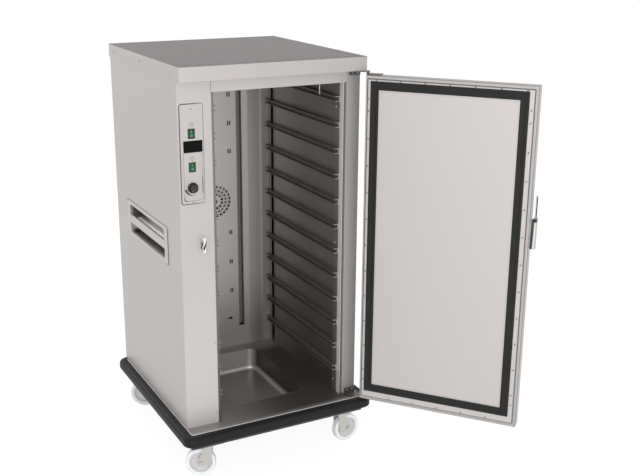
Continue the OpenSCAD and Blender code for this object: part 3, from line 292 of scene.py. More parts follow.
def surface(name, points, around=True, closed=False):
    """A mesh over a grid of points. Rows follow each other, and columns meet when it goes around;
    closed joins the last row to the first as well."""
    rows, columns = points.shape[:2]
    index = np.arange(rows * columns).reshape(rows, columns)
    step = np.roll(index, -1, axis=1) if around else index[:, 1:]
    here = index if around else index[:, :-1]
    if closed:
        quads = [here, step, np.roll(step, -1, axis=0), np.roll(here, -1, axis=0)]
    else:
        quads = [here[:-1], step[:-1], step[1:], here[1:]]
    faces = np.stack(quads, axis=-1).reshape(-1, 4)
    mesh = bpy.data.meshes.new(name)
    mesh.from_pydata(points.reshape(-1, 3).tolist(), [], faces.tolist())
    shape = bmesh.new()
    shape.from_mesh(mesh)
    bmesh.ops.remove_doubles(shape, verts=shape.verts, dist=1e-6)
    bmesh.ops.recalc_face_normals(shape, faces=shape.faces)
    shape.to_mesh(mesh)
    shape.free()
    piece = bpy.data.objects.new(name, mesh)
    bpy.context.scene.collection.objects.link(piece)
    return piece


def smooth(piece, angle):
    """Smooth faces, with an edge kept where they meet more sharply than the angle, in degrees."""
    mesh = piece.data
    mesh.polygons.foreach_set("use_smooth", np.ones(len(mesh.polygons), bool))
    mesh.set_sharp_from_angle(angle=math.radians(angle))
    return piece


def finish_piece(piece, finish, body):
    """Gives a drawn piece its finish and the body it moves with."""
    piece.data.materials.append(finish.material)
    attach(piece, body)


def arc(centre, radius, start, end, count):
    """Points along an arc of a section, from one angle to another, in degrees."""
    angle = np.radians(np.linspace(start, end, count))
    return np.stack([centre[0] + radius * np.cos(angle),
                     centre[1] + radius * np.sin(angle)], axis=1)


def tub(name, centre, half, corner, section):
    """A drawn tub. Each section point is (inset, height, share): the loop is a rectangle with round
    corners, inset from the mouth by the inset, and then drawn in to a share of that size."""
    angle = np.linspace(0, np.pi / 2, 14) + np.pi / 2 * np.arange(4)[:, None]
    side = np.array(((1, 1), (-1, 1), (-1, -1), (1, -1)))
    inset, height, share = (section[:, i, None, None] for i in range(3))
    x = (side[:, :1] * (half[0] - corner) + (corner - inset) * np.cos(angle)) * share
    y = (side[:, 1:] * (half[1] - corner) + (corner - inset) * np.sin(angle)) * share
    points = np.stack([centre[0] + x, centre[1] + y, height + 0 * x], axis=-1)
    return surface(name, points.reshape(len(section), -1, 3), closed=True)


def with_share(points, share=1.0):
    """Section points with the same share added to each."""
    return np.column_stack([points, np.full(len(points), share)])


tank_y_middle, mouth_half_x, mouth_half_y, mouth_corner = -0.0340, 0.1625, 0.2590, 0.0450
tank_floor, tank_fillet, tank_sheet, water_line = 0.1125, 0.0190, 0.0012, 0.1500
flange, flange_foot, flange_top, roll, roll_top = 0.0135, 0.2174, 0.2184, 0.0030, 0.2203
tank_wall = cavity_x + mouth_half_x
tank = brushed_sheet("tank_sheet", (0.46, 0.43, 0.415), 0.36, grain="y", metallic=0.6)
tank_x, tank_y, tank_z = tank.axes()
tide = tank.noise((30, 30, 4), 3.0)
scale_line = abs(tank_z + tide * 0.006 - water_line).rises(0.0016, 0.0004)
on_floor = tank_z.rises(tank_floor + 0.0020, tank_floor + 0.0005)
shadowed = tank_x.rises(tank_wall - 0.013, tank_wall - 0.002).most(
    on_floor * 0.42 * tank_y.rises(-0.15, 0.22))
# Painted highlight: a pale band along the bottom fillet.
fillet_highlight = (tank_z.rises(tank_floor + 0.0275, tank_floor + 0.0135)
            * tank_z.rises(tank_floor + 0.0003, tank_floor + 0.0055))
tank.put("Base Color", tank.blend(
    tank.blend(tank.steel, (0.105, 0.094, 0.088), shadowed), (0.78, 0.75, 0.73), fillet_highlight * 0.6))
tank.put("Roughness", 0.36 + (tank.cloud - 0.5) * 0.10 + scale_line * 0.12
         + (tank.hair - 0.5) * 0.08)
fillet_centre = (tank_fillet, tank_floor + tank_fillet)
flat_inset, under = tank_fillet + 0.002, tank_floor - tank_sheet
tank_section = np.concatenate([
    with_share(np.array([[-flange, flange_foot], [-flange, flange_top]])),
    with_share(np.array([[-roll - 0.0006, flange_top], [-roll - 0.0004, roll_top]])),
    with_share(arc((-roll, roll_top - roll), roll, 84, 6, 7)),
    with_share(arc(fillet_centre, tank_fillet, 180, 270, 12)),
    with_share(np.array([[flat_inset, tank_floor]]), 0.6),
    with_share(np.array([[flat_inset, tank_floor]]), 0.0),
    with_share(np.array([[flat_inset, under]]), 0.0),
    with_share(np.array([[flat_inset, under]]), 0.6),
    with_share(arc(fillet_centre, tank_fillet + tank_sheet, 270, 180, 12)),
    with_share(np.array([[-tank_sheet, flange_foot]]))])
water_tank = smooth(tub("drawn_tank", (cavity_x, tank_y_middle), (mouth_half_x, mouth_half_y),
                        mouth_corner, tank_section), 50.0)
finish_piece(water_tank, tank, "cart")
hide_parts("water_tank")


# ---- Bumper --------------------------------------------------------------------------------
# Black vinyl rubber: straight lengths with moulded corners pushed on between them. The skin is
# finely grained, and its proud edge is scuffed grey by door frames.
def moulded_rubber(name, colour, scuffed=0.5):
    """Rubber skin: small cells in the relief, a dusty bloom, and streaks rubbed along the floor."""
    skin = Finish(name, colour, 0.55, Specular_IOR_Level=0.22)
    cells = skin.noise((1500, 1500, 1500), 1.0)
    bloom = skin.noise((9, 9, 9), 4.0, 0.6)
    rub = skin.noise((16, 16, 320), 3.0).rises(0.60, 0.72)
    skin.put("Base Color",
             skin.blend(colour, shade(colour, 3.2), bloom * 0.25 + rub * scuffed * 0.5))
    skin.put("Roughness", 0.46 + bloom * 0.16 + rub * 0.12)
    skin.emboss(cells, 0.00008)
    return skin


dress(moulded_rubber("bumper_skin", (0.009, 0.009, 0.010), 0.35), "bumper_rails", "bumper_corners")


# ---- Castors -------------------------------------------------------------------------------
# Zinc-plated plates, forks and bolts carry pale polyurethane treads cast on moulded grey hubs.
# Every tread and hub is turned from its own section and stands over the solid wheel.
def plated(name, colour, roughness=0.30):
    """Zinc or chrome plate: crystals of slightly different grey, and a soft uneven gloss."""
    plate = Finish(name, colour, roughness, metallic=0.75)
    spangle = plate.node("ShaderNodeTexVoronoi", None, {"Vector": plate.place(), "Scale": 260.0})
    cloud = plate.noise((22, 22, 22), 3.0)
    plate.put("Base Color",
              plate.blend(shade(colour, 0.90), shade(colour, 1.08), spangle * 0.7 + cloud * 0.3))
    plate.put("Roughness", roughness - 0.05 + cloud * 0.14)
    plate.emboss(plate.noise((700, 700, 700), 1.0), 0.00002)
    return plate


corners = ("fl", "fr", "rl", "rr")
dress(plated("castor_plate", (0.56, 0.54, 0.515), 0.42), "castor_plates",
      *("castor_fork_" + corner for corner in corners))


def turned(name, section, place, around=112):
    """A section of (radius, distance along the axle) points carried round the axle, which is the
    local Y axis of the given place."""
    angle = np.linspace(0, 2 * np.pi, around, endpoint=False)
    radius, along = section[:, 0, None], section[:, 1, None]
    flat = np.stack([radius * np.cos(angle), along + 0 * angle, radius * np.sin(angle),
                     np.ones_like(radius * angle)], axis=-1)
    return surface(name, (flat @ np.array(place).T)[..., :3], closed=True)


tread_finish = Finish("tread_polymer", (0.86, 0.86, 0.87), 0.42, Subsurface_Weight=0.1)
tread_speck = tread_finish.noise((500, 500, 500), 2.0)
tread_dirt = tread_finish.noise((26, 26, 26), 4.0, 0.65).rises(0.52, 0.75)
clean_tread = tread_finish.blend((0.86, 0.86, 0.87), (0.92, 0.92, 0.93), tread_speck)
tread_finish.put("Base Color",
                 tread_finish.blend(clean_tread, (0.66, 0.65, 0.64), tread_dirt * 0.4))
tread_finish.put("Roughness", 0.38 + tread_dirt * 0.2)
tread_finish.emboss(tread_speck, 0.00004)

hub_finish = Finish("hub_polymer", (0.62, 0.62, 0.63), 0.40)
hub_speck = hub_finish.noise((900, 900, 900), 1.0)
hub_cloud = hub_finish.noise((40, 40, 40), 3.0)
hub_finish.put("Base Color", hub_finish.blend((0.58, 0.58, 0.60), (0.66, 0.66, 0.67), hub_cloud))
hub_finish.put("Roughness", 0.36 + hub_cloud * 0.12)
hub_finish.emboss(hub_speck, 0.00003)

# Both sections are (radius, distance along the axle) in metres.
tread_round = 0.0065
tread_section = np.concatenate([
    arc((0.0560, 0.0095), tread_round, 90, 0, 9), arc((0.0560, -0.0095), tread_round, 0, -90, 9),
    [[0.0500, -0.0160], [0.0466, -0.0146], [0.0460, -0.0100], [0.0460, 0.0100], [0.0466, 0.0146],
     [0.0500, 0.0160]]])
hub_section = np.concatenate([
    [[0.0462, -0.0128], [0.0440, -0.0140], [0.0405, -0.0140], [0.0388, -0.0090], [0.0250, -0.0085],
     [0.0225, -0.0130], [0.0130, -0.0150], [0.0125, -0.0185], [0.0052, -0.0186]],
    [[0.0052, 0.0186], [0.0125, 0.0185], [0.0130, 0.0150], [0.0225, 0.0130], [0.0250, 0.0085],
     [0.0388, 0.0090], [0.0405, 0.0140], [0.0440, 0.0140], [0.0462, 0.0128]]])
joints = {joint["name"]: joint for joint in frame["joints"]}
for corner in corners:
    wheel_joint, wheel = joints["castor_roll_" + corner], "castor_wheel_" + corner
    axle = Vector(wheel_joint["axis"])
    place = Matrix.Translation(wheel_joint["pos_m"]) @ Matrix(
        (axle.cross((0, 0, 1)), axle, (0, 0, 1))).transposed().to_4x4()
    tread = smooth(turned("tread_" + corner, tread_section, place), 35.0)
    hub = smooth(turned("hub_" + corner, hub_section, place), 35.0)
    finish_piece(tread, tread_finish, wheel)
    finish_piece(hub, hub_finish, wheel)
    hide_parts("castor_wheel_" + corner)


# ---- Liner, air panel, posts and rails -----------------------------------------------------
# The oven's walls, the perforated air panel and the pan rails are all stainless. The walls are
# painted darker as shade towards the door and the floor, and darkest behind the air panel's front.
# The air panel is painted paler than the walls as light, darker on its folded-back wings and the
# backs of its scoops as shade, and darker towards the bottom. The left rails are painted paler as
# light, and the front ends of the right rails carry a painted highlight.
duct_front, panel_front, flat_half = 0.3180, 0.2900, 0.1665
rail_front, rail_end_glint_colour = -0.3740, (0.62, 0.60, 0.59)
liner = brushed_sheet("liner_sheet", (0.32, 0.295, 0.28), 0.40, variation=0.02, clouds=0.08)
_, liner_y, liner_z = liner.axes()
# Painted shade: the walls darken towards the door and the floor, most behind the air panel.
liner_painted_shade = liner_y.rises(0.25, -0.15) * 0.6 + liner_z.rises(1.0, 0.25) * 0.4
liner_painted_shade = liner_painted_shade.most(liner_y.rises(duct_front, duct_front + 0.006))
liner.put("Base Color", liner.blend(liner.steel, (0.104, 0.092, 0.085), liner_painted_shade))
dress(liner, "liner_left", "liner_right", "liner_ceiling", "liner_rear")

# Painted light: the air panel is a paler copy of the walls' sheet.
air_panel = brushed_sheet("air_panel_sheet", (0.665, 0.63, 0.605), 0.42, clouds=0.08)
panel_x, panel_y, panel_z = air_panel.axes()
from_middle = abs(panel_x - cavity_x)
# Painted shade on the folded-back wings and the scoops' backs; the panel is darker towards the
# bottom.
wing = from_middle.rises(flat_half - 0.0115, flat_half + 0.0585)
darker_towards_bottom = panel_z.rises(0.62, 0.25)
scoop = (panel_y.rises(panel_front + 0.0045, panel_front + 0.0090)
         * from_middle.rises(flat_half, flat_half - 0.0015))
toned_panel_steel = air_panel.blend(air_panel.steel, (0.25, 0.235, 0.225),
                             (wing * 0.38 + darker_towards_bottom * 0.58).least(1.0))
air_panel.put("Base Color", air_panel.blend(toned_panel_steel, (0.23, 0.212, 0.20), scoop))
dress(air_panel, "air_panel")

rack = brushed_sheet("rack_sheet", (0.20, 0.185, 0.175), 0.36, grain="y", variation=0.02)
rack_x, rack_y, _ = rack.axes()
# Painted light: the left rails are paler. Painted highlight: the right rails' front ends.
on_left = rack_x.rises(0.1, 0.0)
rail_end_glint = rack_y.rises(rail_front + 0.0040, rail_front + 0.0005) * rack_x.rises(0.0, 0.1)
rack.put("Base Color", rack.blend(
    rack.blend(rack.steel, (0.50, 0.475, 0.46), on_left), rail_end_glint_colour, rail_end_glint))
dress(rack, "rails_left", "rails_right", "rack_posts_front")
dress(brushed_sheet("post_sheet", (0.34, 0.32, 0.31), 0.40), "rack_posts_rear")


# ---- Fan, motor and heaters ----------------------------------------------------------------
# A pressed aluminium fan turns behind the grille inside a ring of heating tube, and a cast
# motor drives it from the wall. A second heating tube is pressed under the tank.
motor = Finish("motor_casting", (0.20, 0.20, 0.21), 0.55, metallic=0.6)
motor_sand = motor.noise((600, 600, 600), 3.0, 0.7)
motor.put("Base Color", motor.blend((0.15, 0.15, 0.16), (0.28, 0.28, 0.29), motor_sand))
motor.put("Roughness", 0.45 + motor_sand * 0.25)
motor.emboss(motor_sand, 0.0002)
dress(motor, "fan_motor")
dress(plated("fan_aluminium", (0.40, 0.395, 0.39), 0.40), "fan_wheel")
element = Finish("heating_tube", (0.16, 0.13, 0.12), 0.40, metallic=0.9)
scorch = element.noise((30, 30, 30), 3.0)
element.put("Base Color", element.blend((0.09, 0.08, 0.09), (0.27, 0.20, 0.15), scorch))
element.put("Roughness", 0.3 + scorch * 0.3)
dress(element, "air_heater", "tank_heater")


# ---- Insulation ----------------------------------------------------------------------------
# Mineral wool batts fill the walls and the door, yellow-brown, with matted fibres.
wool = Finish("mineral_wool", (0.50, 0.42, 0.26), 0.95)
fibre = wool.noise((220, 40, 220), 5.0, 0.7)
matted = wool.noise((18, 18, 18), 3.0)
wool.put("Base Color",
         wool.blend((0.30, 0.24, 0.13), (0.62, 0.54, 0.36), fibre * 0.6 + matted * 0.4))
wool.put("Roughness", 0.85 + fibre * 0.15)
wool.emboss(fibre, 0.0015)
dress(wool, "insulation", "door_core")


# ---- Grab handles --------------------------------------------------------------------------
# Each side has a pressed stainless pocket with a proud flange and a rounded grip across it,
# brushed along its length. Behind the two openings above and below the grip, light and shade are
# painted on the pocket; painted shadow lines run round the flange and along the grip's top.
def outline(right, up, width, height, corner, line):
    """1 along the edge of a rectangle with round corners. Right and up start at its middle."""
    over, above = abs(right) - (width / 2 - corner), abs(up) - (height / 2 - corner)
    inside = over.most(above).least(0.0)
    over, above = over.most(0.0), above.most(0.0)
    away = (over * over + above * above) ** 0.5 + inside - corner
    return abs(away).rises(line * 0.6, line * 0.4)


handle_middle_y, handle_middle_z, handle_long, handle_high = 0.0015, 0.9550, 0.5110, 0.1600
flange_x, handle_shadow_colour = 0.3900, (0.05, 0.048, 0.046)
handle = brushed_sheet("handle_pressing", (0.505, 0.478, 0.464), 0.36, grain="y", edge=0.002)
handle_x, handle_y, handle_z = handle.axes()
along, up = handle_y - handle_middle_y, handle_z - handle_middle_z
recess = abs(handle_x).rises(flange_x - 0.0005, flange_x - 0.018)
# Painted light and shade in the pocket: above the grip paler at the front, darker at the back;
# below it dark at the foot and bright at the top.
upper = handle.blend((0.48, 0.455, 0.44), (0.13, 0.122, 0.117), handle_y.rises(0.02, 0.18))
lower = handle.blend((0.045, 0.042, 0.040), (0.95, 0.90, 0.87), up.rises(-0.059, -0.033))
pocket = handle.blend(lower, upper, up.rises(-0.010, 0.0))
# Painted shadow lines round the flange, heavier along its top and front end, and along the grip's
# top.
flange_shadow_line = outline(along, up, handle_long, handle_high, 0.0160, 0.0040)
heavy_shadow_side = up.rises(-0.005, 0.075).most(handle_y.rises(-0.20, -0.25))
flange_shadow_line = flange_shadow_line * (0.30 + 0.45 * heavy_shadow_side)
grip_shade = (abs(up - 0.0140).rises(0.0024, 0.0012) * abs(along).rises(0.215, 0.205)
              * abs(handle_x).rises(flange_x - 0.015, flange_x - 0.005) * 0.65)
handle.put("Base Color", handle.blend(
    handle.blend(handle.steel, pocket, recess), handle_shadow_colour, flange_shadow_line.most(grip_shade)))
dress(handle, "grab_handle_left", "grab_handle_right")


# ---- Control plate -------------------------------------------------------------------------
# A satin plate with fine printed lines: a border round the lower group, drawn heavier at its right
# side and lower-left corner, a swept mark round the knob for more and less heat, and plain power
# symbols over the switches. A painted shadow line runs round the plate's edge, heavier at its left.
plate_mid_x, plate_mid_z, plate_w, plate_h = -0.3340, 1.3525, 0.0930, 0.3820
group_x, group_z, group_w, group_h = plate_mid_x + 0.0025, 1.2670, 0.0740, 0.1860
knob_x, knob_z = -0.3350, 1.2240
plate = brushed_sheet("control_plate_sheet", (0.500, 0.472, 0.458), 0.46, grain="x")
plate_x, _, plate_z = plate.axes()


def from_point(x, z):
    """Distances right of and above a point of the control plate, in metres."""
    return plate_x - x, plate_z - z


def distance(x, z):
    """Distance from a point of the control plate, in metres."""
    right, up = from_point(x, z)
    return (right * right + up * up) ** 0.5


def power_mark(x, z, radius, line):
    """A ring that is open at the top, with an upright bar in the gap."""
    right, up = from_point(x, z)
    ring = abs(distance(x, z) - radius).rises(line * 0.6, line * 0.4)
    gap = abs(right).rises(radius * 0.30, radius * 0.36).most(up.rises(0.001, 0.0))
    bar = (abs(right).rises(line * 0.6, line * 0.4)
           * up.rises(-radius * 0.1, 0.0) * up.rises(radius * 1.4, radius * 1.3))
    return (ring * gap).most(bar)


def heat_sweep(x, z, radius, line):
    """A mark that starts thin at the right of the knob's foot and grows thick at its left."""
    right, up = from_point(x, z)
    turn = plate.node("ShaderNodeMath", {"operation": "ARCTAN2"}, [up, right])
    thick = turn.rises(-0.9, -3.0) * line
    away = abs(distance(x, z) - radius)
    return ((away / (thick + 0.00001)).rises(1.1, 0.9)
            * turn.rises(-0.8, -0.9) * turn.rises(-3.05, -2.95))


def blot(x, z, radius):
    """A soft round spot."""
    return distance(x, z).rises(radius * 1.2, radius * 0.7)


# Painted shadow: a dark line round the plate's edge, heavier at its left; the rest is print.
right, up = from_point(plate_mid_x, plate_mid_z)
marks_and_edge_shade = (outline(right, up, plate_w, plate_h, 0.0090, 0.0034)
           * (0.90 - 0.40 * right.rises(0.0, 0.040)))
right, up = from_point(group_x, group_z)
marks_and_edge_shade = marks_and_edge_shade.most(outline(right, up, group_w, group_h, 0.0070, 0.0018) * 0.6)
heavy = outline(right, up, group_w, group_h, 0.0070, 0.0034)
heavy_side = right.rises(0.0275, 0.0315) * abs(up + 0.035).rises(0.040, 0.025)
heavy_corner = blot(plate_mid_x - 0.0320, 1.1790, 0.0110)
marks_and_edge_shade = marks_and_edge_shade.most(heavy * (heavy_corner + heavy_side).least(1.0))
for mark_z in (1.4650, 1.3375):
    marks_and_edge_shade = marks_and_edge_shade.most(power_mark(plate_mid_x + 0.0005, mark_z, 0.0072, 0.0016) * 0.8)
marks_and_edge_shade = marks_and_edge_shade.most(heat_sweep(knob_x, knob_z, 0.0285, 0.0040))
scale_radius = 0.0262
for angle in np.radians(range(-10, 171, 20)):
    marks_and_edge_shade = marks_and_edge_shade.most(0.7 * blot(knob_x + scale_radius * math.cos(angle),
                                      knob_z + scale_radius * math.sin(angle), 0.0009))
marks_and_edge_shade = marks_and_edge_shade.most(blot(plate_mid_x + 0.001, 1.1680, 0.0030) * 0.45)
for ring_z in (1.3090, 1.2990):
    ring = abs(distance(plate_mid_x + 0.0300, ring_z) - 0.0030).rises(0.0009, 0.0005)
    marks_and_edge_shade = marks_and_edge_shade.most(ring * 0.3)
plate.put("Base Color", plate.blend(plate.steel, (0.03, 0.03, 0.03), marks_and_edge_shade))
plate.put("Metallic", 0.5 - marks_and_edge_shade * 0.5)
plate.put("Roughness", 0.42 + marks_and_edge_shade * 0.2 + (plate.hair - 0.5) * 0.12)
dress(plate, "control_plate")


# ---- Display, switches and thermostat ------------------------------------------------------
# A dark acrylic window, green rockers in black housings, and a black knob with a fluted grip, a
# flat cap with turned rings and one pale pointer line.
window_mid_x, window_mid_z = -0.3300, 1.3830
window = Finish("display_acrylic", (0.0065, 0.0063, 0.0060), 0.34, Specular_IOR_Level=0.05)
window_x, _, window_z = window.axes()
film = (abs(window_x - window_mid_x).rises(0.0345, 0.0335)
        * abs(window_z - window_mid_z).rises(0.0180, 0.0170))
dust = window.noise((90, 90, 90), 4.0)
window.put("Base Color", window.blend((0.0050, 0.0050, 0.0050), (0.0066, 0.0062, 0.0062), film))
window.put("Roughness", 0.22 + dust * 0.16)
dress(window, "display_window")


def moulded_plastic(name, colour, roughness=0.45):
    """Injection moulded plastic: a fine spark-eroded texture and faint gloss changes."""
    skin = Finish(name, colour, roughness)
    texture = skin.noise((1800, 1800, 1800), 1.0)
    cloud = skin.noise((30, 30, 30), 3.0)
    skin.put("Base Color", skin.blend(shade(colour, 0.85), shade(colour, 1.35), cloud))
    skin.put("Roughness", roughness - 0.06 + cloud * 0.14)
    skin.emboss(texture, 0.00004)
    return skin


black = moulded_plastic("black_plastic", (0.022, 0.022, 0.023))
dress(black, "switch_housings", "thermostat_body", "power_inlet")

switch_x, switch_heights, mark_offset = -0.3350, (1.4320, 1.3040), 0.0072
rocker = Finish("green_rocker", (0.016, 0.13, 0.035), 0.30, Specular_IOR_Level=0.3)
rocker_x, _, rocker_z = rocker.axes()
right = rocker_x - switch_x
marks = 0.0
for middle in switch_heights:
    up = rocker_z - middle
    stroke = abs(right).rises(0.0012, 0.0008) * abs(up - mark_offset).rises(0.0042, 0.0038)
    away = (right * right + (up + mark_offset) * (up + mark_offset)) ** 0.5
    marks = stroke.most(abs(away - 0.0034).rises(0.0009, 0.0005)).most(marks)
glow = rocker.noise((120, 120, 120), 2.0)
green = rocker.blend((0.010, 0.062, 0.020), (0.020, 0.13, 0.040), glow)
rocker.put("Base Color", rocker.blend(green, (0.22, 0.48, 0.26), marks))
rocker.put("Roughness", 0.2 + glow * 0.1)
dress(rocker, "power_switch", "humidity_switch")

# The knob's section is (radius in mm, distance from the plate in mm, share of the fluting).
flutes, flute_depth, knob_foot_y = 18, 0.0015, -0.4020
turn = np.linspace(0, 2 * np.pi, 384, endpoint=False)
knob_profile = np.array([
    (21.0, 0.4, 0.0), (21.0, 2.2, 0.0), (20.4, 3.0, 0.0), (17.6, 3.2, 0.0), (17.0, 3.8, 0.4),
    (16.8, 5.0, 1.0), (16.4, 10.0, 1.0), (15.9, 17.0, 1.0), (15.6, 18.8, 0.8), (15.0, 20.0, 0.4),
    (14.0, 20.8, 0.0), (12.6, 21.0, 0.0), (12.3, 20.4, 0.0), (8.0, 20.4, 0.0), (7.8, 20.8, 0.0),
    (0.0, 20.8, 0.0), (0.0, 0.4, 0.0)]) / (1000, 1000, 1)
flute = flute_depth * (0.5 + 0.5 * np.cos(flutes * turn)) ** 2
reach = knob_profile[:, :1] - knob_profile[:, 2:] * flute
knob_points = np.stack([
    knob_x + reach * np.cos(turn), knob_foot_y - knob_profile[:, 1:2] + 0 * reach,
    knob_z + reach * np.sin(turn)], axis=-1)
knob_finish = moulded_plastic("knob_grip", (0.020, 0.018, 0.018), 0.45)
knob_finish_x, knob_finish_y, knob_finish_z = knob_finish.axes()
right, up = knob_finish_x - knob_x, knob_finish_z - knob_z
slant = math.sin(math.radians(45))
down_left, beside = (right + up) * -slant, abs((right - up) * slant)
pointer = beside.rises(0.0009, 0.0006) * abs(down_left - 0.0105).rises(0.0048, 0.0044)
turned_rings = knob_finish.node("ShaderNodeMath", {"operation": "SINE"},
                                [((right * right + up * up) ** 0.5) * 9000.0])
on_cap = knob_finish_y.rises(knob_foot_y - 0.0200, knob_foot_y - 0.0206)
knob_black = knob_finish.blend((0.012, 0.011, 0.011), (0.028, 0.0255, 0.0245),
                               on_cap * (0.5 + 0.2 * turned_rings))
knob_finish.put("Base Color", knob_finish.blend(knob_black, (0.24, 0.24, 0.23), pointer * on_cap))
knob = smooth(surface("fluted_knob", knob_points, closed=True), 30.0)
finish_piece(knob, knob_finish, "thermostat_knob")
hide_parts("thermostat_knob")


# ---- Probe, hinges, keeper and screws ------------------------------------------------------
# Small fittings of bent and cast stainless. The probe's rod is bright, the hinge plates are dark,
# and the keeper is chromed, with its slanting throat painted dark as shade. Screw heads inside
# the cavity are painted bright as highlights.
chrome, throat_x, throat_z, throat_lean = (0.85, 0.84, 0.83), -0.3020, 0.9990, 0.35
dress(plated("bright_fitting", (0.36, 0.35, 0.34), 0.20), "temperature_probe")
dress(plated("hinge_plate", (0.15, 0.145, 0.14), 0.32),
      "hinge_bracket_top", "hinge_bracket_bottom", "hinge_arms")
keeper = plated("keeper_chrome", chrome, 0.16)
keeper_x, _, keeper_z = keeper.axes()
up = keeper_z - throat_z
# Painted shade: the keeper's slanting throat is painted dark.
throat = (abs(keeper_x - throat_x - up * throat_lean).rises(0.0036, 0.0026)
          * abs(up).rises(0.0200, 0.0180))
keeper.put("Base Color", keeper.blend(chrome, (0.03, 0.03, 0.03), throat))
dress(keeper, "latch_keeper")

screw_grey = (0.40, 0.39, 0.38)
screws = plated("screw_heads", screw_grey, 0.32)
screw_x, screw_y, _ = screws.axes()
# Painted highlight: screw heads inside the cavity are painted near white.
in_cavity = (abs(screw_x).rises(cavity_right + 0.015, cavity_right + 0.010)
             * screw_y.rises(front_face + 0.005, front_face + 0.010))
screws.put("Base Color", screws.blend(screw_grey, (0.97, 0.96, 0.95), in_cavity))
dress(screws, "body_screws", "castor_bolts")
dress(plated("door_screw_heads", (0.25, 0.245, 0.24), 0.35), "door_screws")


# ---- Door ----------------------------------------------------------------------------------
# A folded outer pan like the body's sheets, and a flat inner panel painted paler than the pan as
# light. Thin dark joints run round the hem, the fold and the panel's edge. The latch is chromed
# and dark where it turns, and the wide black seal is a ribbed silicone section with mitred corners.
hinge_x, hinge_y, hinge_turn = 0.3960, -0.4520, math.radians(129.3)
door_mid, door_mid_z, inner_face = -0.3440, 0.9230, 0.0460
joint_black = (0.06, 0.057, 0.055)


def door_axes(finish):
    """Distances along the open door from its hinge axis, out of its inner face, and up."""
    x, y, z = finish.axes()
    x, y = x - hinge_x, y - hinge_y
    return (x * math.cos(hinge_turn) + y * math.sin(hinge_turn),
            y * math.cos(hinge_turn) - x * math.sin(hinge_turn), z)


bright, dark_parts = (0.80, 0.79, 0.78), (0.075, 0.070, 0.066)
latch_tip, latch_foot, pin_z, lever_back = -0.7030, 0.9780, 1.0930, -0.0170
latch = plated("latch_chrome", bright, 0.18)
door_x, door_y, door_z = door_axes(latch)
on_lever_back = door_y.rises(lever_back - 0.0020, lever_back - 0.0002)
wedge = door_y.rises(-0.0080, -0.0050) * door_x.rises(latch_tip + 0.0070, latch_tip + 0.0105)
knuckle = abs(door_z - pin_z).rises(0.0080, 0.0050) * on_lever_back
shank = (door_z.rises(pin_z + 0.0070, pin_z + 0.0090) * on_lever_back
         * door_x.rises(latch_tip + 0.0090, latch_tip + 0.0075))
rim = door_x.rises(latch_tip + 0.0020, latch_tip + 0.0008).most(
    door_z.rises(latch_foot + 0.0030, latch_foot + 0.0015)) * 0.55
latch.put("Base Color", latch.blend(
    bright, dark_parts, wedge.most(knuckle).most(shank).most(rim)))
dress(latch, "latch_housing", "latch_lever")

door_sheet = brushed_sheet("door_skin_sheet", (0.50, 0.48, 0.466))
door_x, door_y, door_z = door_axes(door_sheet)
up = door_z - door_mid_z
hem = outline(door_x - door_mid, up, 0.6570, 1.3650, 0.0020, 0.0030) * 0.85
fold = outline(door_x - door_mid + 0.0030, up, 0.6760, 1.3900, 0.0020, 0.0036) * 0.6
on_inside = door_y.rises(inner_face - 0.0160, inner_face - 0.0015)
door_sheet.put("Base Color", door_sheet.blend(
    door_sheet.steel, joint_black, hem.most(fold) * on_inside))
dress(door_sheet, "door_skin")

# Painted light: the inner panel is a paler copy of the door's sheet.
door_panel = brushed_sheet("door_panel_sheet", (0.575, 0.545, 0.530), 0.50, variation=0.005)
door_x, _, door_z = door_axes(door_panel)
panel_edge = outline(door_x - door_mid, door_z - door_mid_z, 0.6530, 1.3610, 0.0020, 0.0036)
door_panel.put("Base Color", door_panel.blend(door_panel.steel, joint_black, panel_edge * 0.55))
dress(door_panel, "door_inner_panel")

# The seal's section is (distance in from its outer edge, height) in mm.
seal_section = np.array([
    (0.0, 0.0), (0.0, 2.6), (0.6, 3.1), (1.5, 3.4), (2.2, 4.6), (3.6, 5.5), (5.8, 5.7), (8.0, 5.5),
    (9.6, 4.6), (10.5, 3.4), (11.4, 3.1), (15.0, 3.1), (15.4, 2.7), (18.6, 2.7), (19.0, 3.1),
    (22.6, 3.1), (23.5, 3.4), (24.4, 4.6), (26.0, 5.5), (28.2, 5.7), (30.4, 5.5), (31.8, 4.6),
    (32.5, 3.4), (33.4, 3.1), (34.0, 2.6), (34.0, 0.0)]) / 1000
inset, height = seal_section[:, :1], seal_section[:, 1:]
near, far, foot, head = -0.0290, -0.6520, 0.2690, 1.5970
across = np.hstack([near - inset, near - inset, far + inset, far + inset])
seal_z = np.hstack([foot + inset, head - inset, head - inset, foot + inset])
out = inner_face + height + 0 * across
seal_points = np.stack([
    hinge_x + across * math.cos(hinge_turn) - out * math.sin(hinge_turn),
    hinge_y + across * math.sin(hinge_turn) + out * math.cos(hinge_turn), seal_z], axis=-1)
door_seal = smooth(surface("ribbed_door_seal", seal_points, closed=True), 40.0)
finish_piece(door_seal, moulded_rubber("door_seal", (0.013, 0.014, 0.013), 0.0),
             "door")
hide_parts("door_gasket")


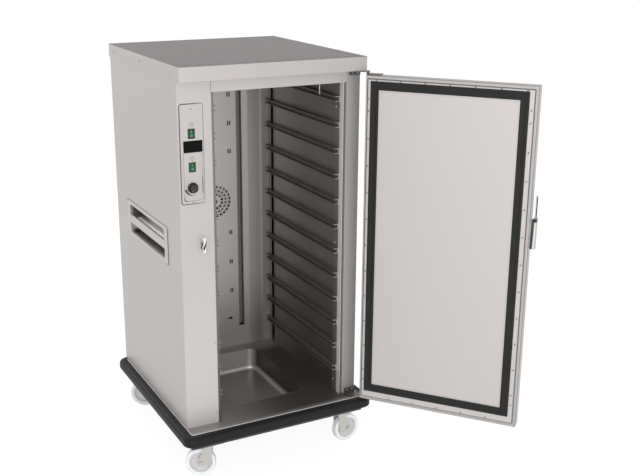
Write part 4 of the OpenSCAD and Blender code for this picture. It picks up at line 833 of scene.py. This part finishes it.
# ---- Floor, light and camera ---------------------------------------------------------------
# A pale paper floor that looks white to the camera and to glossy metal but still shows the cart's
# soft shadow, an even light from the front left, and the camera at the photograph's angle.
floor_half = 30.0
floor_mesh = bpy.data.meshes.new("studio_floor")
floor_mesh.from_pydata([(x * floor_half, y * floor_half, 0.0)
                        for x, y in ((-1, -1), (1, -1), (1, 1), (-1, 1))], [], [(0, 1, 2, 3)])
plane = bpy.data.objects.new("studio_floor", floor_mesh)
bpy.context.scene.collection.objects.link(plane)
paper = Finish("floor_paper", (0.86, 0.86, 0.86), 0.9, Specular_IOR_Level=0.1)
paper_fibre = paper.noise((40, 40, 40), 3.0)
paper.put("Base Color", paper.blend((0.85, 0.85, 0.85), (0.88, 0.88, 0.88), paper_fibre))
ray = paper.tree.nodes.new("ShaderNodeLightPath")
seen = Wire(paper, ray.outputs["Is Camera Ray"]).most(Wire(paper, ray.outputs["Is Glossy Ray"]))
white = paper.node("ShaderNodeEmission", None, {"Color": (1, 1, 1, 1), "Strength": 1.08})
mixed = paper.node("ShaderNodeMixShader", None,
                   {0: seen * 0.85, 1: Wire(paper, paper.shader.outputs[0]), 2: white})
paper.tree.links.new(mixed.socket, paper.tree.nodes["Material Output"].inputs["Surface"])
plane.data.materials.append(paper.material)

world = bpy.data.worlds.new("studio_air")
bpy.context.scene.world = world
world.use_nodes = True
air = world.node_tree
air_ray = air.nodes.new("ShaderNodeLightPath")
air_spot = air.nodes.new("ShaderNodeTexCoord")
air_split = air.nodes.new("ShaderNodeSeparateXYZ")
air.links.new(air_spot.outputs["Generated"], air_split.inputs[0])
air_rise = air.nodes.new("ShaderNodeMapRange")
horizon_glow, zenith_glow = 0.90, 0.75
for socket, value in (("From Min", 0.0), ("From Max", 0.75),
                      ("To Min", horizon_glow), ("To Max", zenith_glow)):
    air_rise.inputs[socket].default_value = value
air.links.new(air_split.outputs["Z"], air_rise.inputs["Value"])
air_pick = air.nodes.new("ShaderNodeMix")
air.links.new(air_ray.outputs["Is Camera Ray"], air_pick.inputs[0])
air.links.new(air_rise.outputs[0], air_pick.inputs[2])
air_pick.inputs[3].default_value = 1.0
air.nodes["Background"].inputs["Color"].default_value = (1, 1, 1, 1)
air.links.new(air_pick.outputs[0], air.nodes["Background"].inputs["Strength"])

aim = Vector((0.1, -0.1, 0.8))
for name, spot, size, power in (
        ("key_light", (-3.2, -4.2, 3.4), 2.6, 45.0), ("front_light", (-0.8, -4.6, 1.6), 1.8, 50.0),
        ("back_light", (-1.5, 4.0, 3.0), 2.4, 40.0)):
    data = bpy.data.lights.new(name, "AREA")
    data.energy, data.size = power, size
    light = bpy.data.objects.new(name, data)
    light.location = spot
    light.rotation_euler = (aim - Vector(spot)).to_track_quat("-Z", "Y").to_euler()
    bpy.context.scene.collection.objects.link(light)

lens = bpy.data.cameras.new("photo_lens")
lens.sensor_width = 36.0
lens.lens = 56.01
lens.shift_x, lens.shift_y = 0.0022, 0.0030
camera = bpy.data.objects.new("photo_camera", lens)
azimuth, elevation, roll = math.radians(-28.28), math.radians(17.39), math.radians(0.45)
back = Vector((math.sin(azimuth) * math.cos(elevation), -math.cos(azimuth) * math.cos(elevation),
               math.sin(elevation)))
camera.rotation_mode = "QUATERNION"
camera.rotation_quaternion = ((-back).to_track_quat("-Z", "Y")
                              @ Matrix.Rotation(roll, 4, "Z").to_quaternion())
camera.location = (-1.6456, -3.8448, 2.1659)
bpy.context.scene.collection.objects.link(camera)
bpy.context.scene.camera = camera
bpy.context.scene.view_settings.view_transform = "Standard"
